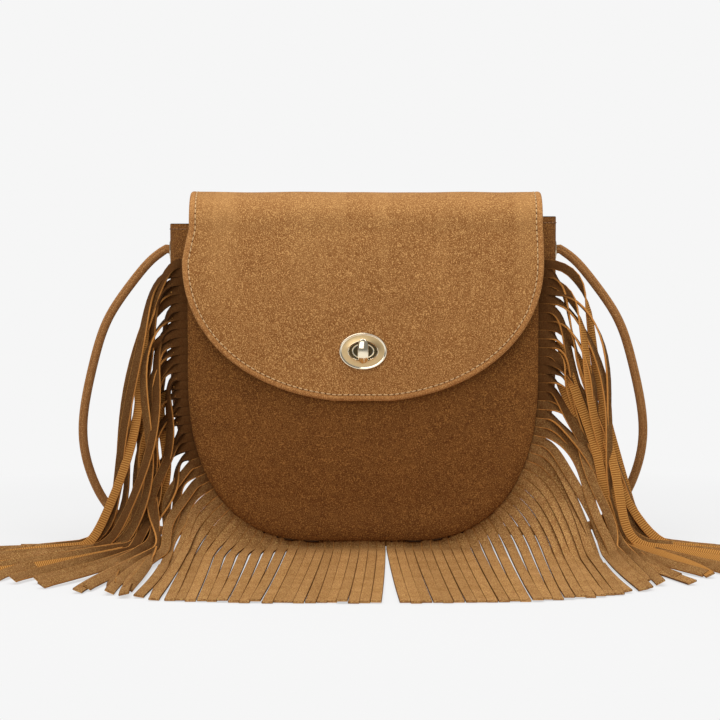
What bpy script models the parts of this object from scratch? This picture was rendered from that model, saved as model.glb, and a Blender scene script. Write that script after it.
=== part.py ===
# Fringed suede bag: a saddle-shaped crossbody bag with a flap, a turn lock, a rolled strap and a fringe
# in its front seam.
# Metres, +Z up. X runs across the bag, -Y is its front, and the origin is the middle of its flat underside.

import math

import bmesh
import bpy
from mathutils import Matrix, Vector

# Bag body
HALF_WIDTH = 0.1145
GUSSET_HALF_DEPTH = 0.0268
MOUTH_HEIGHT = 0.212
BOTTOM_DROP = 0.006
BOTTOM_FLAT = 0.030
CORNER_HEIGHT = 0.110
CORNER_POWER = 2.4
FRONT_BULGE = 0.008
BACK_BULGE = 0.005
MOUTH_BULGE_SHARE = 0.25
BULGE_POWER = 2.5
PANEL_CORNER_SHARE = 0.6
SIDE_BULGE = 0.0125
GUSSET_FLAT_SHARE = 0.45
EAR_RISE = 0.003

# Materials' thicknesses and the gap kept between touching pieces
SUEDE = 0.0014
CLOTH = 0.0006
GAP = 0.0003
LINING_SLACK = 0.4
LINING_EASE = 0.0005
LINING_ACROSS = 5
PANEL_COLUMNS = 9
PANEL_ROWS = 10
GUSSET_ROWS = 6
GUSSET_COLUMNS = (2, 12, 4)
LINING_ROWS = 8

# Fringe
FRINGE_TOP = 0.190
FRINGE_THICKNESS = 0.0012
FRINGE_BAND = 0.005
FRINGE_TUCK = 0.0011
STRIP_LENGTH = 0.245
STRIP_PITCH = 0.0057
STRIP_WIDTH = 0.0055
STRIP_SHARE = 0.45
FRINGE_PARTING = 0.015
FRINGE_REACH = 0.080
REACH_POWER = 0.85
FRINGE_STEP = 0.012
FRINGE_ADVANCE = 0.030
FAN_START = 0.0045
FAN_SHARE = 0.09
FLARE_START = 0.150
FLARE_REACH = 0.100
FRINGE_FLARE = 68.0
FALL_PUSH = 0.045
FALL_PULL = 0.006
FALL_SLACK = 1.12
FALL_STATIONS = (0.25, 0.52, 0.8, 1.0)
FLOOR_LIFT_SHARE = 0.6
FLOOR_LIFT_CLIMB = 0.125

# Flap
FLAP_TOP = 0.2343
FLAP_ROLL = 0.025
FLAP_BACK_HEM = 0.012
FLAP_HALF_WIDTH = HALF_WIDTH + 0.003
FLAP_FOLD_HALF_WIDTH = HALF_WIDTH + 0.0005
FLAP_LEAN = 0.0018
FLAP_CURVE_TOP = 0.189
FLAP_DROP = 0.0915
FLAP_POWER = 2.1
FLAP_MARGIN = 0.002
FLAP_LINING_THICKNESS = 0.0008
FLAP_SQUARENESS = 0.75
FLAP_END_ANGLE = 0.14
FLAP_COLUMNS = 9
FLAP_ROLL_STEPS = 7
FLAP_HANG_STEPS = 9

# Turn lock
LOCK_HEIGHT = 0.131
PLATE_WIDTH = 0.031
PLATE_HEIGHT = 0.024
PLATE_THICKNESS = 0.0012
PLATE_HOLE_WIDTH = 0.018
PLATE_HOLE_HEIGHT = 0.0115
PLATE_PRONG = (PLATE_WIDTH + PLATE_HOLE_WIDTH) / 4
BACKER_THICKNESS = 0.0005
FLANGE_WIDTH = 0.021
FLANGE_HEIGHT = 0.0175
FLANGE_THICKNESS = 0.0009
BOSS_WIDTH = 0.0145
BOSS_HEIGHT = 0.0100
BOSS_RECESS = 0.0003
BOSS_WALL = 0.0012
PRONG_WIDTH = 0.0026
PRONG_THICKNESS = 0.0006
PRONG_FOLD = 0.0020
BASE_PRONG_HEIGHT = 0.0069
KNOB_LENGTH = 0.0162
KNOB_WIDTH = 0.0072
KNOB_DEPTH = 0.0030
KNOB_EDGE_DEPTH = 0.0012
KNOB_CLEARANCE = 0.0005
KNOB_SECTIONS = 9
KNOB_SPACING_POWER = 0.7
KNOB_OUTLINE_POWER = 3.5
KNOB_DEPTH_POWER = 2.2
SPINDLE_RADIUS = 0.0015
RETAINER_RADIUS = 0.0034
RETAINER_THICKNESS = 0.0008

# Eyelets
EYELET_HEIGHT = 0.196
EYELET_BORE = 0.0040
EYELET_WALL = 0.0005
EYELET_RIM = 0.0018
EYELET_RIM_THICKNESS = 0.0008
EYELET_FLARE = 0.0010
EYELET_FLARE_THICKNESS = 0.0005
WASHER_THICKNESS = 0.0005
WASHER_RIM = 0.0019

# Strap
STRAP_RADIUS = 0.003
KNOT_RADIUS = 0.0072
COIL_RADIUS = 0.033
COIL_TURNS = 2
COIL_CENTRE_Y = 0.082
STRAP_STEP = 0.015
STRAP_FLOOR = 0.0004
STRAP_STRAIGHT = 0.009

# The strap's route on each side, from its eyelet out, down and back behind the bag: x to the side, y and z
STRAP_ROUTE = (
    (0.1440, 0.000, 0.186),
    (0.153, 0.001, 0.175),
    (0.162, 0.002, 0.163),
    (0.172, 0.003, 0.147),
    (0.181, 0.006, 0.116),
    (0.187, 0.009, 0.088),
    (0.188, 0.012, 0.066),
    (0.182, 0.018, 0.041),
    (0.170, 0.026, 0.018),
    (0.150, 0.036, 0.0055),
    (0.125, 0.043, 0.0034),
    (0.095, 0.047, 0.0034),
)
STRAP_TO_COIL = ((0.060, 0.0487, 0.0034), (0.0205, 0.049, 0.0034))
STRAP_FROM_COIL = ((0.060, 0.0487, 0.0052), (0.040, 0.0488, 0.0105), (0.0205, 0.049, 0.0152))

SUEDE_TAN = (0.335, 0.155, 0.052, 1.0)
SUEDE_BROWN = (0.150, 0.052, 0.012, 1.0)
SUEDE_FRINGE = (0.400, 0.205, 0.080, 1.0)
LINING_BEIGE = (0.480, 0.360, 0.240, 1.0)
PALE_GOLD = (0.790, 0.650, 0.430, 1.0)

FRONT_DEPTH = GUSSET_HALF_DEPTH + GAP + FRINGE_THICKNESS + GAP + SUEDE
BACK_DEPTH = GUSSET_HALF_DEPTH + GAP + SUEDE
FRINGE_PLANE = -(GUSSET_HALF_DEPTH + GAP + FRINGE_THICKNESS / 2)
CORNER_TOP = BOTTOM_DROP + CORNER_HEIGHT
FLAP_STACK = GAP + FLANGE_THICKNESS + GAP + BACKER_THICKNESS + GAP
FLAP_LAYERS = FLAP_LINING_THICKNESS + GAP + SUEDE
PANEL_FACE = -(FRONT_DEPTH + FRONT_BULGE)
PLATE_BACK = FLAP_STACK + FLAP_LAYERS + GAP
PLATE_FRONT = PLATE_BACK + PLATE_THICKNESS
BOSS_FRONT = PLATE_FRONT - BOSS_RECESS
KNOB_BACK = PLATE_FRONT + KNOB_CLEARANCE
RETAINER_FRONT = BOSS_FRONT - BOSS_WALL - GAP
GUSSET_FACE = HALF_WIDTH + SIDE_BULGE
BARREL_RADIUS = EYELET_BORE + EYELET_WALL
WASHER_FRONT = SUEDE + GAP + LINING_EASE + CLOTH + GAP
FLARE_FRONT = WASHER_FRONT + WASHER_THICKNESS + GAP
FLARE_BACK = FLARE_FRONT + EYELET_FLARE_THICKNESS


def clear_scene():
    for item in list(bpy.data.objects):
        bpy.data.objects.remove(item, do_unlink=True)


def collection(name):
    made = bpy.data.collections.new(name)
    bpy.context.scene.collection.children.link(made)
    return made


def material(name, colour, roughness, metallic=0.0):
    made = bpy.data.materials.new(name)
    made.use_nodes = True
    shader = made.node_tree.nodes["Principled BSDF"]
    shader.inputs["Base Color"].default_value = colour
    shader.inputs["Roughness"].default_value = roughness
    shader.inputs["Metallic"].default_value = metallic
    return made


def add_object(name, data, finish=None, folder="parts"):
    made = bpy.data.objects.new(name, data)
    collections[folder].objects.link(made)
    if finish is not None:
        data.materials.append(finish)
    if folder == "cutters":
        made.hide_render = True
        made.display_type = "WIRE"
    return made


def mesh_from(bm, name):
    mesh = bpy.data.meshes.new(name)
    bm.to_mesh(mesh)
    bm.free()
    return mesh


def solidify(target, thickness, offset):
    wall = target.modifiers.new("wall", "SOLIDIFY")
    wall.thickness = thickness
    wall.offset = offset
    wall.use_even_offset = True


def cut(target, cutter, operation="DIFFERENCE"):
    step = target.modifiers.new(cutter.name, "BOOLEAN")
    step.operation = operation
    step.object = cutter


def smooth(target, degrees=40):
    target.data.shade_smooth()
    target.data.set_sharp_from_angle(angle=math.radians(degrees))


def sheet(name, columns, rows, place, thickness, finish, offset=-1.0):
    """A grid bent by place(u, v), its outer face where place says, with a wall behind it."""
    bm = bmesh.new()
    bmesh.ops.create_grid(bm, x_segments=columns, y_segments=rows, size=0.5)
    for vert in bm.verts:
        vert.co = place(vert.co.x + 0.5, vert.co.y + 0.5)
    made = add_object(name, mesh_from(bm, name), finish)
    solidify(made, thickness, offset)
    smooth(made)
    return made


# The outline of the front and back seams

def corner_point(turn):
    """Half outline between the flat bottom (turn 0) and the straight side (turn 1)."""
    angle = turn * math.pi / 2
    across = math.sin(angle) ** (2 / CORNER_POWER)
    down = max(math.cos(angle), 0.0) ** (2 / CORNER_POWER)
    x = BOTTOM_FLAT + (HALF_WIDTH - BOTTOM_FLAT) * across
    return x, CORNER_TOP - CORNER_HEIGHT * down


def outline_points():
    """Right half of the outline from the middle of the bottom to the mouth, with the length along it."""
    points = [(0.0, BOTTOM_DROP)]
    points += [corner_point(step / 160) for step in range(161)]
    points.append((HALF_WIDTH, MOUTH_HEIGHT))
    lengths = [0.0]
    for before, after in zip(points, points[1:]):
        lengths.append(lengths[-1] + math.dist(before, after))
    return points, lengths


OUTLINE, OUTLINE_LENGTHS = outline_points()
SEAM_HALF = OUTLINE_LENGTHS[-1]


def seam_point(along):
    """Point (x, z) on the seam at a signed length from the middle of the bottom."""
    length = min(abs(along), SEAM_HALF)
    for index in range(1, len(OUTLINE)):
        if length <= OUTLINE_LENGTHS[index]:
            break
    start, end = OUTLINE_LENGTHS[index - 1], OUTLINE_LENGTHS[index]
    share = (length - start) / (end - start) if end > start else 0.0
    (x0, z0), (x1, z1) = OUTLINE[index - 1], OUTLINE[index]
    x = x0 + (x1 - x0) * share
    return Vector((math.copysign(x, along), z0 + (z1 - z0) * share))


def seam_normal(along):
    reach = 0.002
    inside = min(max(along, reach - SEAM_HALF), SEAM_HALF - reach)
    run = seam_point(inside + reach) - seam_point(inside - reach)
    return Vector((run.y, -run.x)).normalized()


def seam_length_at(height):
    """Length along the right half of the seam where it reaches a height."""
    for (point, length) in zip(OUTLINE, OUTLINE_LENGTHS):
        if point[1] >= height:
            return length - (point[1] - height)
    return SEAM_HALF


FRINGE_HALF = seam_length_at(FRINGE_TOP)


def panel_row(v):
    """Half width and height of the panel's row v, from the bottom (0) to the mouth (1)."""
    if v < PANEL_CORNER_SHARE:
        return corner_point(v / PANEL_CORNER_SHARE)
    climb = (v - PANEL_CORNER_SHARE) / (1 - PANEL_CORNER_SHARE)
    return HALF_WIDTH, CORNER_TOP + (MOUTH_HEIGHT - CORNER_TOP) * climb


def bulge_height_share(z):
    if z < LOCK_HEIGHT:
        share = 1 - ((LOCK_HEIGHT - z) / (LOCK_HEIGHT - BOTTOM_DROP)) ** BULGE_POWER
    else:
        climb = (z - LOCK_HEIGHT) / (MOUTH_HEIGHT - LOCK_HEIGHT)
        fall = (1 - MOUTH_BULGE_SHARE) * climb ** BULGE_POWER
        share = 1 - min(fall, 1.0)
    return max(share, 0.0)


def bulge(u, z, amount):
    """How far a panel stands out at the share u (-1 to 1) of its half width."""
    return amount * (1 - abs(u) ** BULGE_POWER) * bulge_height_share(z)


# Body

def front_panel(finish):
    def place(u, v):
        half, z = panel_row(v)
        across = 2 * u - 1
        return Vector((across * half, -FRONT_DEPTH - bulge(across, z, FRONT_BULGE), z))
    return sheet("front_panel", PANEL_COLUMNS, PANEL_ROWS, place, SUEDE, finish)


def back_panel(finish):
    def place(u, v):
        half, z = panel_row(v)
        across = 1 - 2 * u
        return Vector((across * half, BACK_DEPTH + bulge(across, z, BACK_BULGE), z))
    return sheet("back_panel", PANEL_COLUMNS, PANEL_ROWS, place, SUEDE, finish)


def side_swell(depth_share, z):
    """How far the gusset stands out from the seams, at a share (-1 to 1) of its depth."""
    climb = min(max((z - BOTTOM_DROP) / CORNER_HEIGHT, 0.0), 1.0)
    amount = BOTTOM_DROP + (SIDE_BULGE - BOTTOM_DROP) * climb * climb * (3 - 2 * climb)
    past = max(abs(depth_share) - GUSSET_FLAT_SHARE, 0.0) / (1 - GUSSET_FLAT_SHARE)
    return amount * (1 - past * past)


def gusset_length(u):
    """Length along the seam at a share of the gusset's columns: few on the straights, most round corners."""
    corner_end = seam_length_at(CORNER_TOP)
    knots = [0.0, BOTTOM_FLAT, corner_end, SEAM_HALF]
    step = abs(2 * u - 1) * sum(GUSSET_COLUMNS)
    for columns, low, high in zip(GUSSET_COLUMNS, knots, knots[1:]):
        if step <= columns + 0.001:
            return math.copysign(low + (high - low) * min(step / columns, 1.0), u - 0.5)
        step -= columns
    return math.copysign(SEAM_HALF, u - 0.5)


def gusset(finish):
    def place(u, v):
        along = gusset_length(u)
        share = 1 - 2 * v
        point = seam_point(along)
        out = seam_normal(along) * side_swell(share, point.y)
        if abs(along) < BOTTOM_FLAT:
            out.x = 0.0
        rise = EAR_RISE * max((point.y - FRINGE_TOP) / (MOUTH_HEIGHT - FRINGE_TOP), 0.0)
        return Vector((point.x + out.x, share * GUSSET_HALF_DEPTH, point.y + out.y + rise))
    return sheet("gusset", 2 * sum(GUSSET_COLUMNS), GUSSET_ROWS, place, SUEDE, finish)


def under_gusset(share, z, inset):
    """Place (y, swell) of a line that runs parallel to the gusset's section, inset under its outer face."""
    low, high = max(share - 0.05, -1.0), min(share + 0.05, 1.0)
    run = Vector(((high - low) * GUSSET_HALF_DEPTH, side_swell(high, z) - side_swell(low, z))).normalized()
    return share * GUSSET_HALF_DEPTH + run.y * inset, side_swell(share, z) - run.x * inset


def lining(finish):
    """A pouch open at the top: rings of its section one below another, closed by a flat bottom."""
    inset = SUEDE + GAP + LINING_EASE

    def ring(v):
        along = SEAM_HALF + (BOTTOM_FLAT - SEAM_HALF) * v
        normal = seam_normal(along) if v < 1.0 else Vector((0.0, -1.0))
        seam = seam_point(along)
        edge = seam - normal * inset
        points = []
        for step in range(LINING_ACROSS):
            u = -1 + 2 * step / LINING_ACROSS
            slack = LINING_SLACK * bulge(u, edge.y, FRONT_BULGE)
            points.append(Vector((u * edge.x, -GUSSET_HALF_DEPTH - slack, edge.y)))
        for step in range(GUSSET_ROWS):
            y, swell = under_gusset(-1 + 2 * step / GUSSET_ROWS, seam.y, inset)
            out = seam + normal * (swell if v < 1.0 else -inset)
            points.append(Vector((out.x, y, out.y)))
        back = [Vector((-p.x, -p.y, p.z)) for p in points]
        for point in back[:LINING_ACROSS]:
            point.y = GUSSET_HALF_DEPTH + LINING_SLACK * bulge(point.x / edge.x, edge.y, BACK_BULGE)
        return points + back

    bm = bmesh.new()
    rings = [[bm.verts.new(point) for point in ring(row / LINING_ROWS)] for row in range(LINING_ROWS + 1)]
    count = len(rings[0])
    for upper, lower in zip(rings, rings[1:]):
        for step in range(count):
            after = (step + 1) % count
            bm.faces.new((upper[step], lower[step], lower[after], upper[after]))
    bm.faces.new(rings[-1][::-1])
    made = add_object("lining", mesh_from(bm, "lining"), finish)
    solidify(made, CLOTH, -1.0)
    smooth(made)
    return made


# Flap

def flap_front(z):
    """Outer face of the hanging flap at a height: it follows the middle of the front panel."""
    return -(FRONT_DEPTH + FRONT_BULGE * bulge_height_share(z) + FLAP_STACK + FLAP_LAYERS)


def flap_line():
    """The flap's outer profile from its back hem over the top to its tip, as points (y, z, half width)."""
    roll_base = FLAP_TOP - FLAP_ROLL
    hem = roll_base - FLAP_BACK_HEM
    back_y = BACK_DEPTH + BACK_BULGE * bulge_height_share(hem) + GAP + FLAP_LAYERS
    middle = (back_y + flap_front(roll_base)) / 2
    reach = (back_y - flap_front(roll_base)) / 2
    line = [(back_y, hem, FLAP_FOLD_HALF_WIDTH)]
    for step in range(FLAP_ROLL_STEPS + 1):
        angle = math.pi * step / FLAP_ROLL_STEPS
        over = math.copysign(abs(math.cos(angle)) ** FLAP_SQUARENESS, math.cos(angle))
        up = max(math.sin(angle), 0.0) ** FLAP_SQUARENESS
        line.append((middle + reach * over, roll_base + FLAP_ROLL * up, FLAP_FOLD_HALF_WIDTH))
    for step in range(FLAP_HANG_STEPS + 1):
        angle = math.pi / 2 + (FLAP_END_ANGLE - math.pi / 2) * step / FLAP_HANG_STEPS
        z = FLAP_CURVE_TOP - FLAP_DROP * max(math.cos(angle), 0.0) ** (2 / FLAP_POWER)
        line.append((flap_front(z), z, FLAP_HALF_WIDTH * math.sin(angle) ** (2 / FLAP_POWER)))
    return line


def flap_lean(z):
    """How far to the right the flap's middle lies at a height: its fold sits a little off centre."""
    climb = (z - FLAP_CURVE_TOP) / (FLAP_TOP - FLAP_ROLL - FLAP_CURVE_TOP)
    return FLAP_LEAN * min(max(climb, 0.0), 1.0)


def flap_layer(name, thickness, inset, margin, finish):
    """One layer of the flap, its outer face inset under the flap's own and its edge in by margin."""
    line = flap_line()
    rows = len(line) - 1

    def place(u, v):
        row = round(v * rows)
        before = line[max(row - 1, 0)]
        after = line[min(row + 1, rows)]
        y, z, half = line[row]
        run = Vector((after[0] - before[0], after[1] - before[1])).normalized()
        rise = margin if row == rows else 0.0
        x = flap_lean(z) + (1 - 2 * u) * (half - margin)
        return Vector((x, y - run.y * inset, z + run.x * inset + rise))
    return sheet(name, FLAP_COLUMNS, rows, place, thickness, finish)


def flap(finish):
    made = flap_layer("flap", SUEDE, 0.0, 0.0, finish)
    cut_for_lock(made)
    return made


def flap_lining(finish):
    made = flap_layer("flap_lining", FLAP_LINING_THICKNESS, SUEDE + GAP, FLAP_MARGIN, finish)
    cut_for_lock(made)
    return made


# Fringe

def bezier(points, t):
    s = 1 - t
    p0, p1, p2, p3 = points
    return p0 * s ** 3 + p1 * (3 * s * s * t) + p2 * (3 * s * t * t) + p3 * t ** 3


def strip_heading(along, fall, landing):
    """Angle from straight ahead at which a strip lies on the floor: fanned below, flared at the sides."""
    side = -1.0 if along < FRINGE_PARTING else 1.0
    apart = abs(along - FRINGE_PARTING)
    tip = side * along + FAN_START + FAN_SHARE * apart
    lying = max(STRIP_LENGTH - FALL_SLACK * fall, STRIP_WIDTH)
    fan = math.asin(min(max((tip - side * landing.x) / lying, -1.0), 1.0))
    flare = min(max((apart - FLARE_START) / FLARE_REACH, 0.0), 1.0)
    flare = flare * flare * (3 - 2 * flare)
    return side * (fan * (1 - flare) + math.radians(FRINGE_FLARE) * flare)


def strip_line(along):
    """Centre line of the strip that leaves the seam at this length along it: its fall and its lie."""
    side = -1.0 if along < FRINGE_PARTING else 1.0
    seam = seam_point(along)
    normal = seam_normal(along)
    climb = max((seam.y - BOTTOM_DROP) / (FRINGE_TOP - BOTTOM_DROP), 0.0)
    edge = Vector((normal.x, 0.0, normal.y))
    start = Vector((seam.x, FRINGE_PLANE, seam.y))
    near_floor = 1 - min(climb / FLOOR_LIFT_CLIMB, 1.0)
    band_end = start + edge * FRINGE_BAND * (1 - FLOOR_LIFT_SHARE * near_floor)
    landing = Vector((
        seam.x + side * FRINGE_REACH * climb ** REACH_POWER,
        FRINGE_PLANE - FRINGE_STEP - FRINGE_ADVANCE * 4 * climb * (1 - climb),
        FRINGE_THICKNESS / 2 + GAP,
    ))
    heading = strip_heading(along, (landing - band_end).length, landing)
    lie = Vector((math.sin(heading), -math.cos(heading), 0.0))
    push = FRINGE_BAND + FALL_PUSH * climb
    pull = FALL_PULL + FALL_PUSH * climb
    return start, band_end, (band_end, band_end + edge * push, landing - lie * pull, landing), lie


def strip_stations(along):
    """Points down one strip: its tucked edge, the end of the band, the fall and the tip."""
    start, band_end, curve, lie = strip_line(along)
    inner = start - (band_end - start).normalized() * FRINGE_TUCK
    fall = [bezier(curve, t) for t in FALL_STATIONS]
    dense = [bezier(curve, step / 24) for step in range(25)]
    fallen = sum((b - a).length for a, b in zip(dense, dense[1:]))
    tip = curve[3] + lie * max(STRIP_LENGTH - fallen, STRIP_WIDTH)
    return [inner, band_end] + fall + [tip]


def fringe_length(name, side, finish):
    """One length of fringe: a band sewn into the seam, with its strips cut below it."""
    reach = FRINGE_HALF - side * FRINGE_PARTING
    count = round(reach / STRIP_PITCH)
    pitch = (reach - GAP) / count
    bm = bmesh.new()
    rows = []
    for index in range(count):
        along = FRINGE_PARTING + side * (GAP + (index + 0.5) * pitch)
        here = strip_stations(along)
        before = strip_stations(along - pitch / 2)
        after = strip_stations(along + pitch / 2)
        left, right = [], []
        for station, point in enumerate(here):
            near = here[max(station - 1, 0)]
            far = here[min(station + 1, len(here) - 1)]
            run = (far - near).normalized()
            across = after[station] - before[station]
            across -= run * across.dot(run)
            half = min(STRIP_WIDTH / 2, STRIP_SHARE * across.length)
            across.normalize()
            left.append(bm.verts.new(point - across * half))
            right.append(bm.verts.new(point + across * half))
        rows.append((left, right))
    for left, right in rows:
        for station in range(len(left) - 1):
            bm.faces.new((left[station], left[station + 1], right[station + 1], right[station]))
    ordered = rows if side > 0 else rows[::-1]
    for (_, right), (left, _) in zip(ordered, ordered[1:]):
        bm.faces.new((right[0], right[1], left[1], left[0]))
    made = add_object(name, mesh_from(bm, name), finish)
    solidify(made, FRINGE_THICKNESS, 0.0)
    smooth(made)
    return made


# Turn lock: places are given as how far in front of the panel's face they lie

def ellipse(width, height, count=24):
    return [
        (width / 2 * math.cos(2 * math.pi * step / count), height / 2 * math.sin(2 * math.pi * step / count))
        for step in range(count)
    ]


def to_mesh(curve_object):
    """Make a curve's solid a mesh with its caps welded on."""
    bpy.context.view_layer.update()
    evaluated = curve_object.evaluated_get(bpy.context.evaluated_depsgraph_get())
    mesh = bpy.data.meshes.new_from_object(evaluated)
    bm = bmesh.new()
    bm.from_mesh(mesh)
    bmesh.ops.remove_doubles(bm, verts=bm.verts, dist=0.00001)
    bmesh.ops.recalc_face_normals(bm, faces=bm.faces)
    bm.to_mesh(mesh)
    bm.free()
    name = curve_object.name
    folder = "cutters" if curve_object.hide_render else "parts"
    place = curve_object.matrix_world.copy()
    bpy.data.objects.remove(curve_object, do_unlink=True)
    made = add_object(name, mesh, None, folder)
    made.name = name
    made.matrix_world = place
    return made


def lock_plate_shape(name, outlines, back, front, finish=None, folder="parts"):
    """A flat piece facing the front, of closed outlines, between two distances in front of the panel."""
    curve = bpy.data.curves.new(name, "CURVE")
    curve.dimensions = "2D"
    curve.fill_mode = "BOTH"
    curve.extrude = (front - back) / 2
    for outline in outlines:
        spline = curve.splines.new("POLY")
        spline.points.add(len(outline) - 1)
        for point, (x, y) in zip(spline.points, outline):
            point.co = (x, y, 0.0, 1.0)
        spline.use_cyclic_u = True
    made = add_object(name, curve, finish, folder)
    made.rotation_euler = (math.pi / 2, 0.0, 0.0)
    made.location = (0.0, PANEL_FACE - (front + back) / 2, LOCK_HEIGHT)
    return to_mesh(made)


def prong(name, distance, back, front, turn):
    """A bent prong: a leg running back from front to back, its foot turned outwards."""
    outline = [
        (distance - PRONG_THICKNESS / 2, front),
        (distance - PRONG_THICKNESS / 2, back),
        (distance + PRONG_FOLD, back),
        (distance + PRONG_FOLD, back + PRONG_THICKNESS),
        (distance + PRONG_THICKNESS / 2, back + PRONG_THICKNESS),
        (distance + PRONG_THICKNESS / 2, front),
    ]
    bm = bmesh.new()
    ends = [[bm.verts.new((x, -y, z)) for x, y in outline] for z in (-PRONG_WIDTH / 2, PRONG_WIDTH / 2)]
    bm.faces.new(ends[0])
    bm.faces.new(ends[1])
    for step in range(len(outline)):
        after = (step + 1) % len(outline)
        bm.faces.new((ends[0][step], ends[0][after], ends[1][after], ends[1][step]))
    bmesh.ops.recalc_face_normals(bm, faces=bm.faces)
    bmesh.ops.rotate(bm, verts=bm.verts, matrix=Matrix.Rotation(turn, 3, "Y"))
    made = add_object(name, mesh_from(bm, name), None, "cutters")
    made.location = (0.0, PANEL_FACE, LOCK_HEIGHT)
    return made


def slot(name, distance, turn):
    """The cutter of a prong's slot, right through what the prong passes."""
    bm = bmesh.new()
    bmesh.ops.create_cube(bm, size=1.0)
    size = (PRONG_THICKNESS + 2 * GAP, 0.02, PRONG_WIDTH + 2 * GAP)
    bmesh.ops.scale(bm, verts=bm.verts, vec=size)
    bmesh.ops.translate(bm, verts=bm.verts, vec=(distance, 0.0, 0.0))
    bmesh.ops.rotate(bm, verts=bm.verts, matrix=Matrix.Rotation(turn, 3, "Y"))
    made = add_object(name, mesh_from(bm, name), None, "cutters")
    made.location = (0.0, PANEL_FACE, LOCK_HEIGHT)
    return made


def round_cutter(name, radius, reach, middle, axis="Y"):
    bm = bmesh.new()
    bmesh.ops.create_cone(bm, cap_ends=True, segments=20, radius1=radius, radius2=radius, depth=reach)
    bmesh.ops.rotate(bm, verts=bm.verts, matrix=Matrix.Rotation(math.pi / 2, 3, "X" if axis == "Y" else "Y"))
    made = add_object(name, mesh_from(bm, name), None, "cutters")
    made.location = middle
    return made


def cut_for_lock(target):
    """The hole for the boss and the knob, and the slots for the plate's prongs."""
    hole = ellipse(PLATE_HOLE_WIDTH + 2 * GAP, PLATE_HOLE_HEIGHT + 2 * GAP)
    cut(target, lock_plate_shape(target.name + "_hole", [hole], -0.002, PLATE_FRONT + 0.002, None, "cutters"))
    for turn in (0.0, math.pi):
        cut(target, slot(f"{target.name}_slot_{round(math.degrees(turn))}", PLATE_PRONG, turn))


def lock_plate(finish):
    outlines = [ellipse(PLATE_WIDTH, PLATE_HEIGHT, 28), ellipse(PLATE_HOLE_WIDTH, PLATE_HOLE_HEIGHT, 24)]
    made = lock_plate_shape("lock_plate", outlines, PLATE_BACK, PLATE_FRONT)
    made.data.materials.append(finish)
    foot = GAP + FLANGE_THICKNESS - PRONG_THICKNESS
    for turn in (0.0, math.pi):
        name = f"plate_prong_{round(math.degrees(turn))}"
        cut(made, prong(name, PLATE_PRONG, foot, PLATE_BACK + PLATE_THICKNESS / 2, turn), "UNION")
    smooth(made)
    return made


def lock_plate_backer(finish):
    outlines = [
        ellipse(PLATE_WIDTH - FLAP_MARGIN, PLATE_HEIGHT - FLAP_MARGIN),
        ellipse(PLATE_HOLE_WIDTH + 2 * GAP, PLATE_HOLE_HEIGHT + 2 * GAP, 24),
    ]
    back = GAP + FLANGE_THICKNESS + GAP
    made = lock_plate_shape("lock_plate_backer", outlines, back, back + BACKER_THICKNESS)
    made.data.materials.append(finish)
    for turn in (0.0, math.pi):
        cut(made, slot(f"backer_slot_{round(math.degrees(turn))}", PLATE_PRONG, turn))
    smooth(made)
    return made


def lock_base(finish):
    flange = [ellipse(FLANGE_WIDTH, FLANGE_HEIGHT)]
    made = lock_plate_shape("lock_base", flange, GAP, GAP + FLANGE_THICKNESS)
    made.data.materials.append(finish)
    boss = lock_plate_shape("boss", [ellipse(BOSS_WIDTH, BOSS_HEIGHT)], GAP * 2, BOSS_FRONT, None, "cutters")
    cut(made, boss, "UNION")
    for turn in (math.pi / 2, -math.pi / 2):
        name = f"base_prong_{round(math.degrees(turn))}"
        foot = -(SUEDE + GAP + BACKER_THICKNESS + GAP + PRONG_THICKNESS)
        cut(made, prong(name, BASE_PRONG_HEIGHT, foot, GAP + FLANGE_THICKNESS / 2, turn), "UNION")
    cavity = ellipse(BOSS_WIDTH - 2 * BOSS_WALL, BOSS_HEIGHT - 2 * BOSS_WALL)
    cut(made, lock_plate_shape("cavity", [cavity], -0.001, BOSS_FRONT - BOSS_WALL, None, "cutters"))
    middle = (0.0, PANEL_FACE - BOSS_FRONT, LOCK_HEIGHT)
    cut(made, round_cutter("spindle_bore", SPINDLE_RADIUS + GAP, 0.01, middle))
    smooth(made)
    return made


def lock_base_washer(finish):
    inner = ellipse(BOSS_WIDTH - 2 * BOSS_WALL, BOSS_HEIGHT - 2 * BOSS_WALL)
    outlines = [ellipse(FLANGE_WIDTH, FLANGE_HEIGHT), inner]
    front = -(SUEDE + GAP)
    made = lock_plate_shape("lock_base_washer", outlines, front - BACKER_THICKNESS, front)
    made.data.materials.append(finish)
    for turn in (math.pi / 2, -math.pi / 2):
        cut(made, slot(f"washer_slot_{round(math.degrees(turn))}", BASE_PRONG_HEIGHT, turn))
    smooth(made)
    return made


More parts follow.
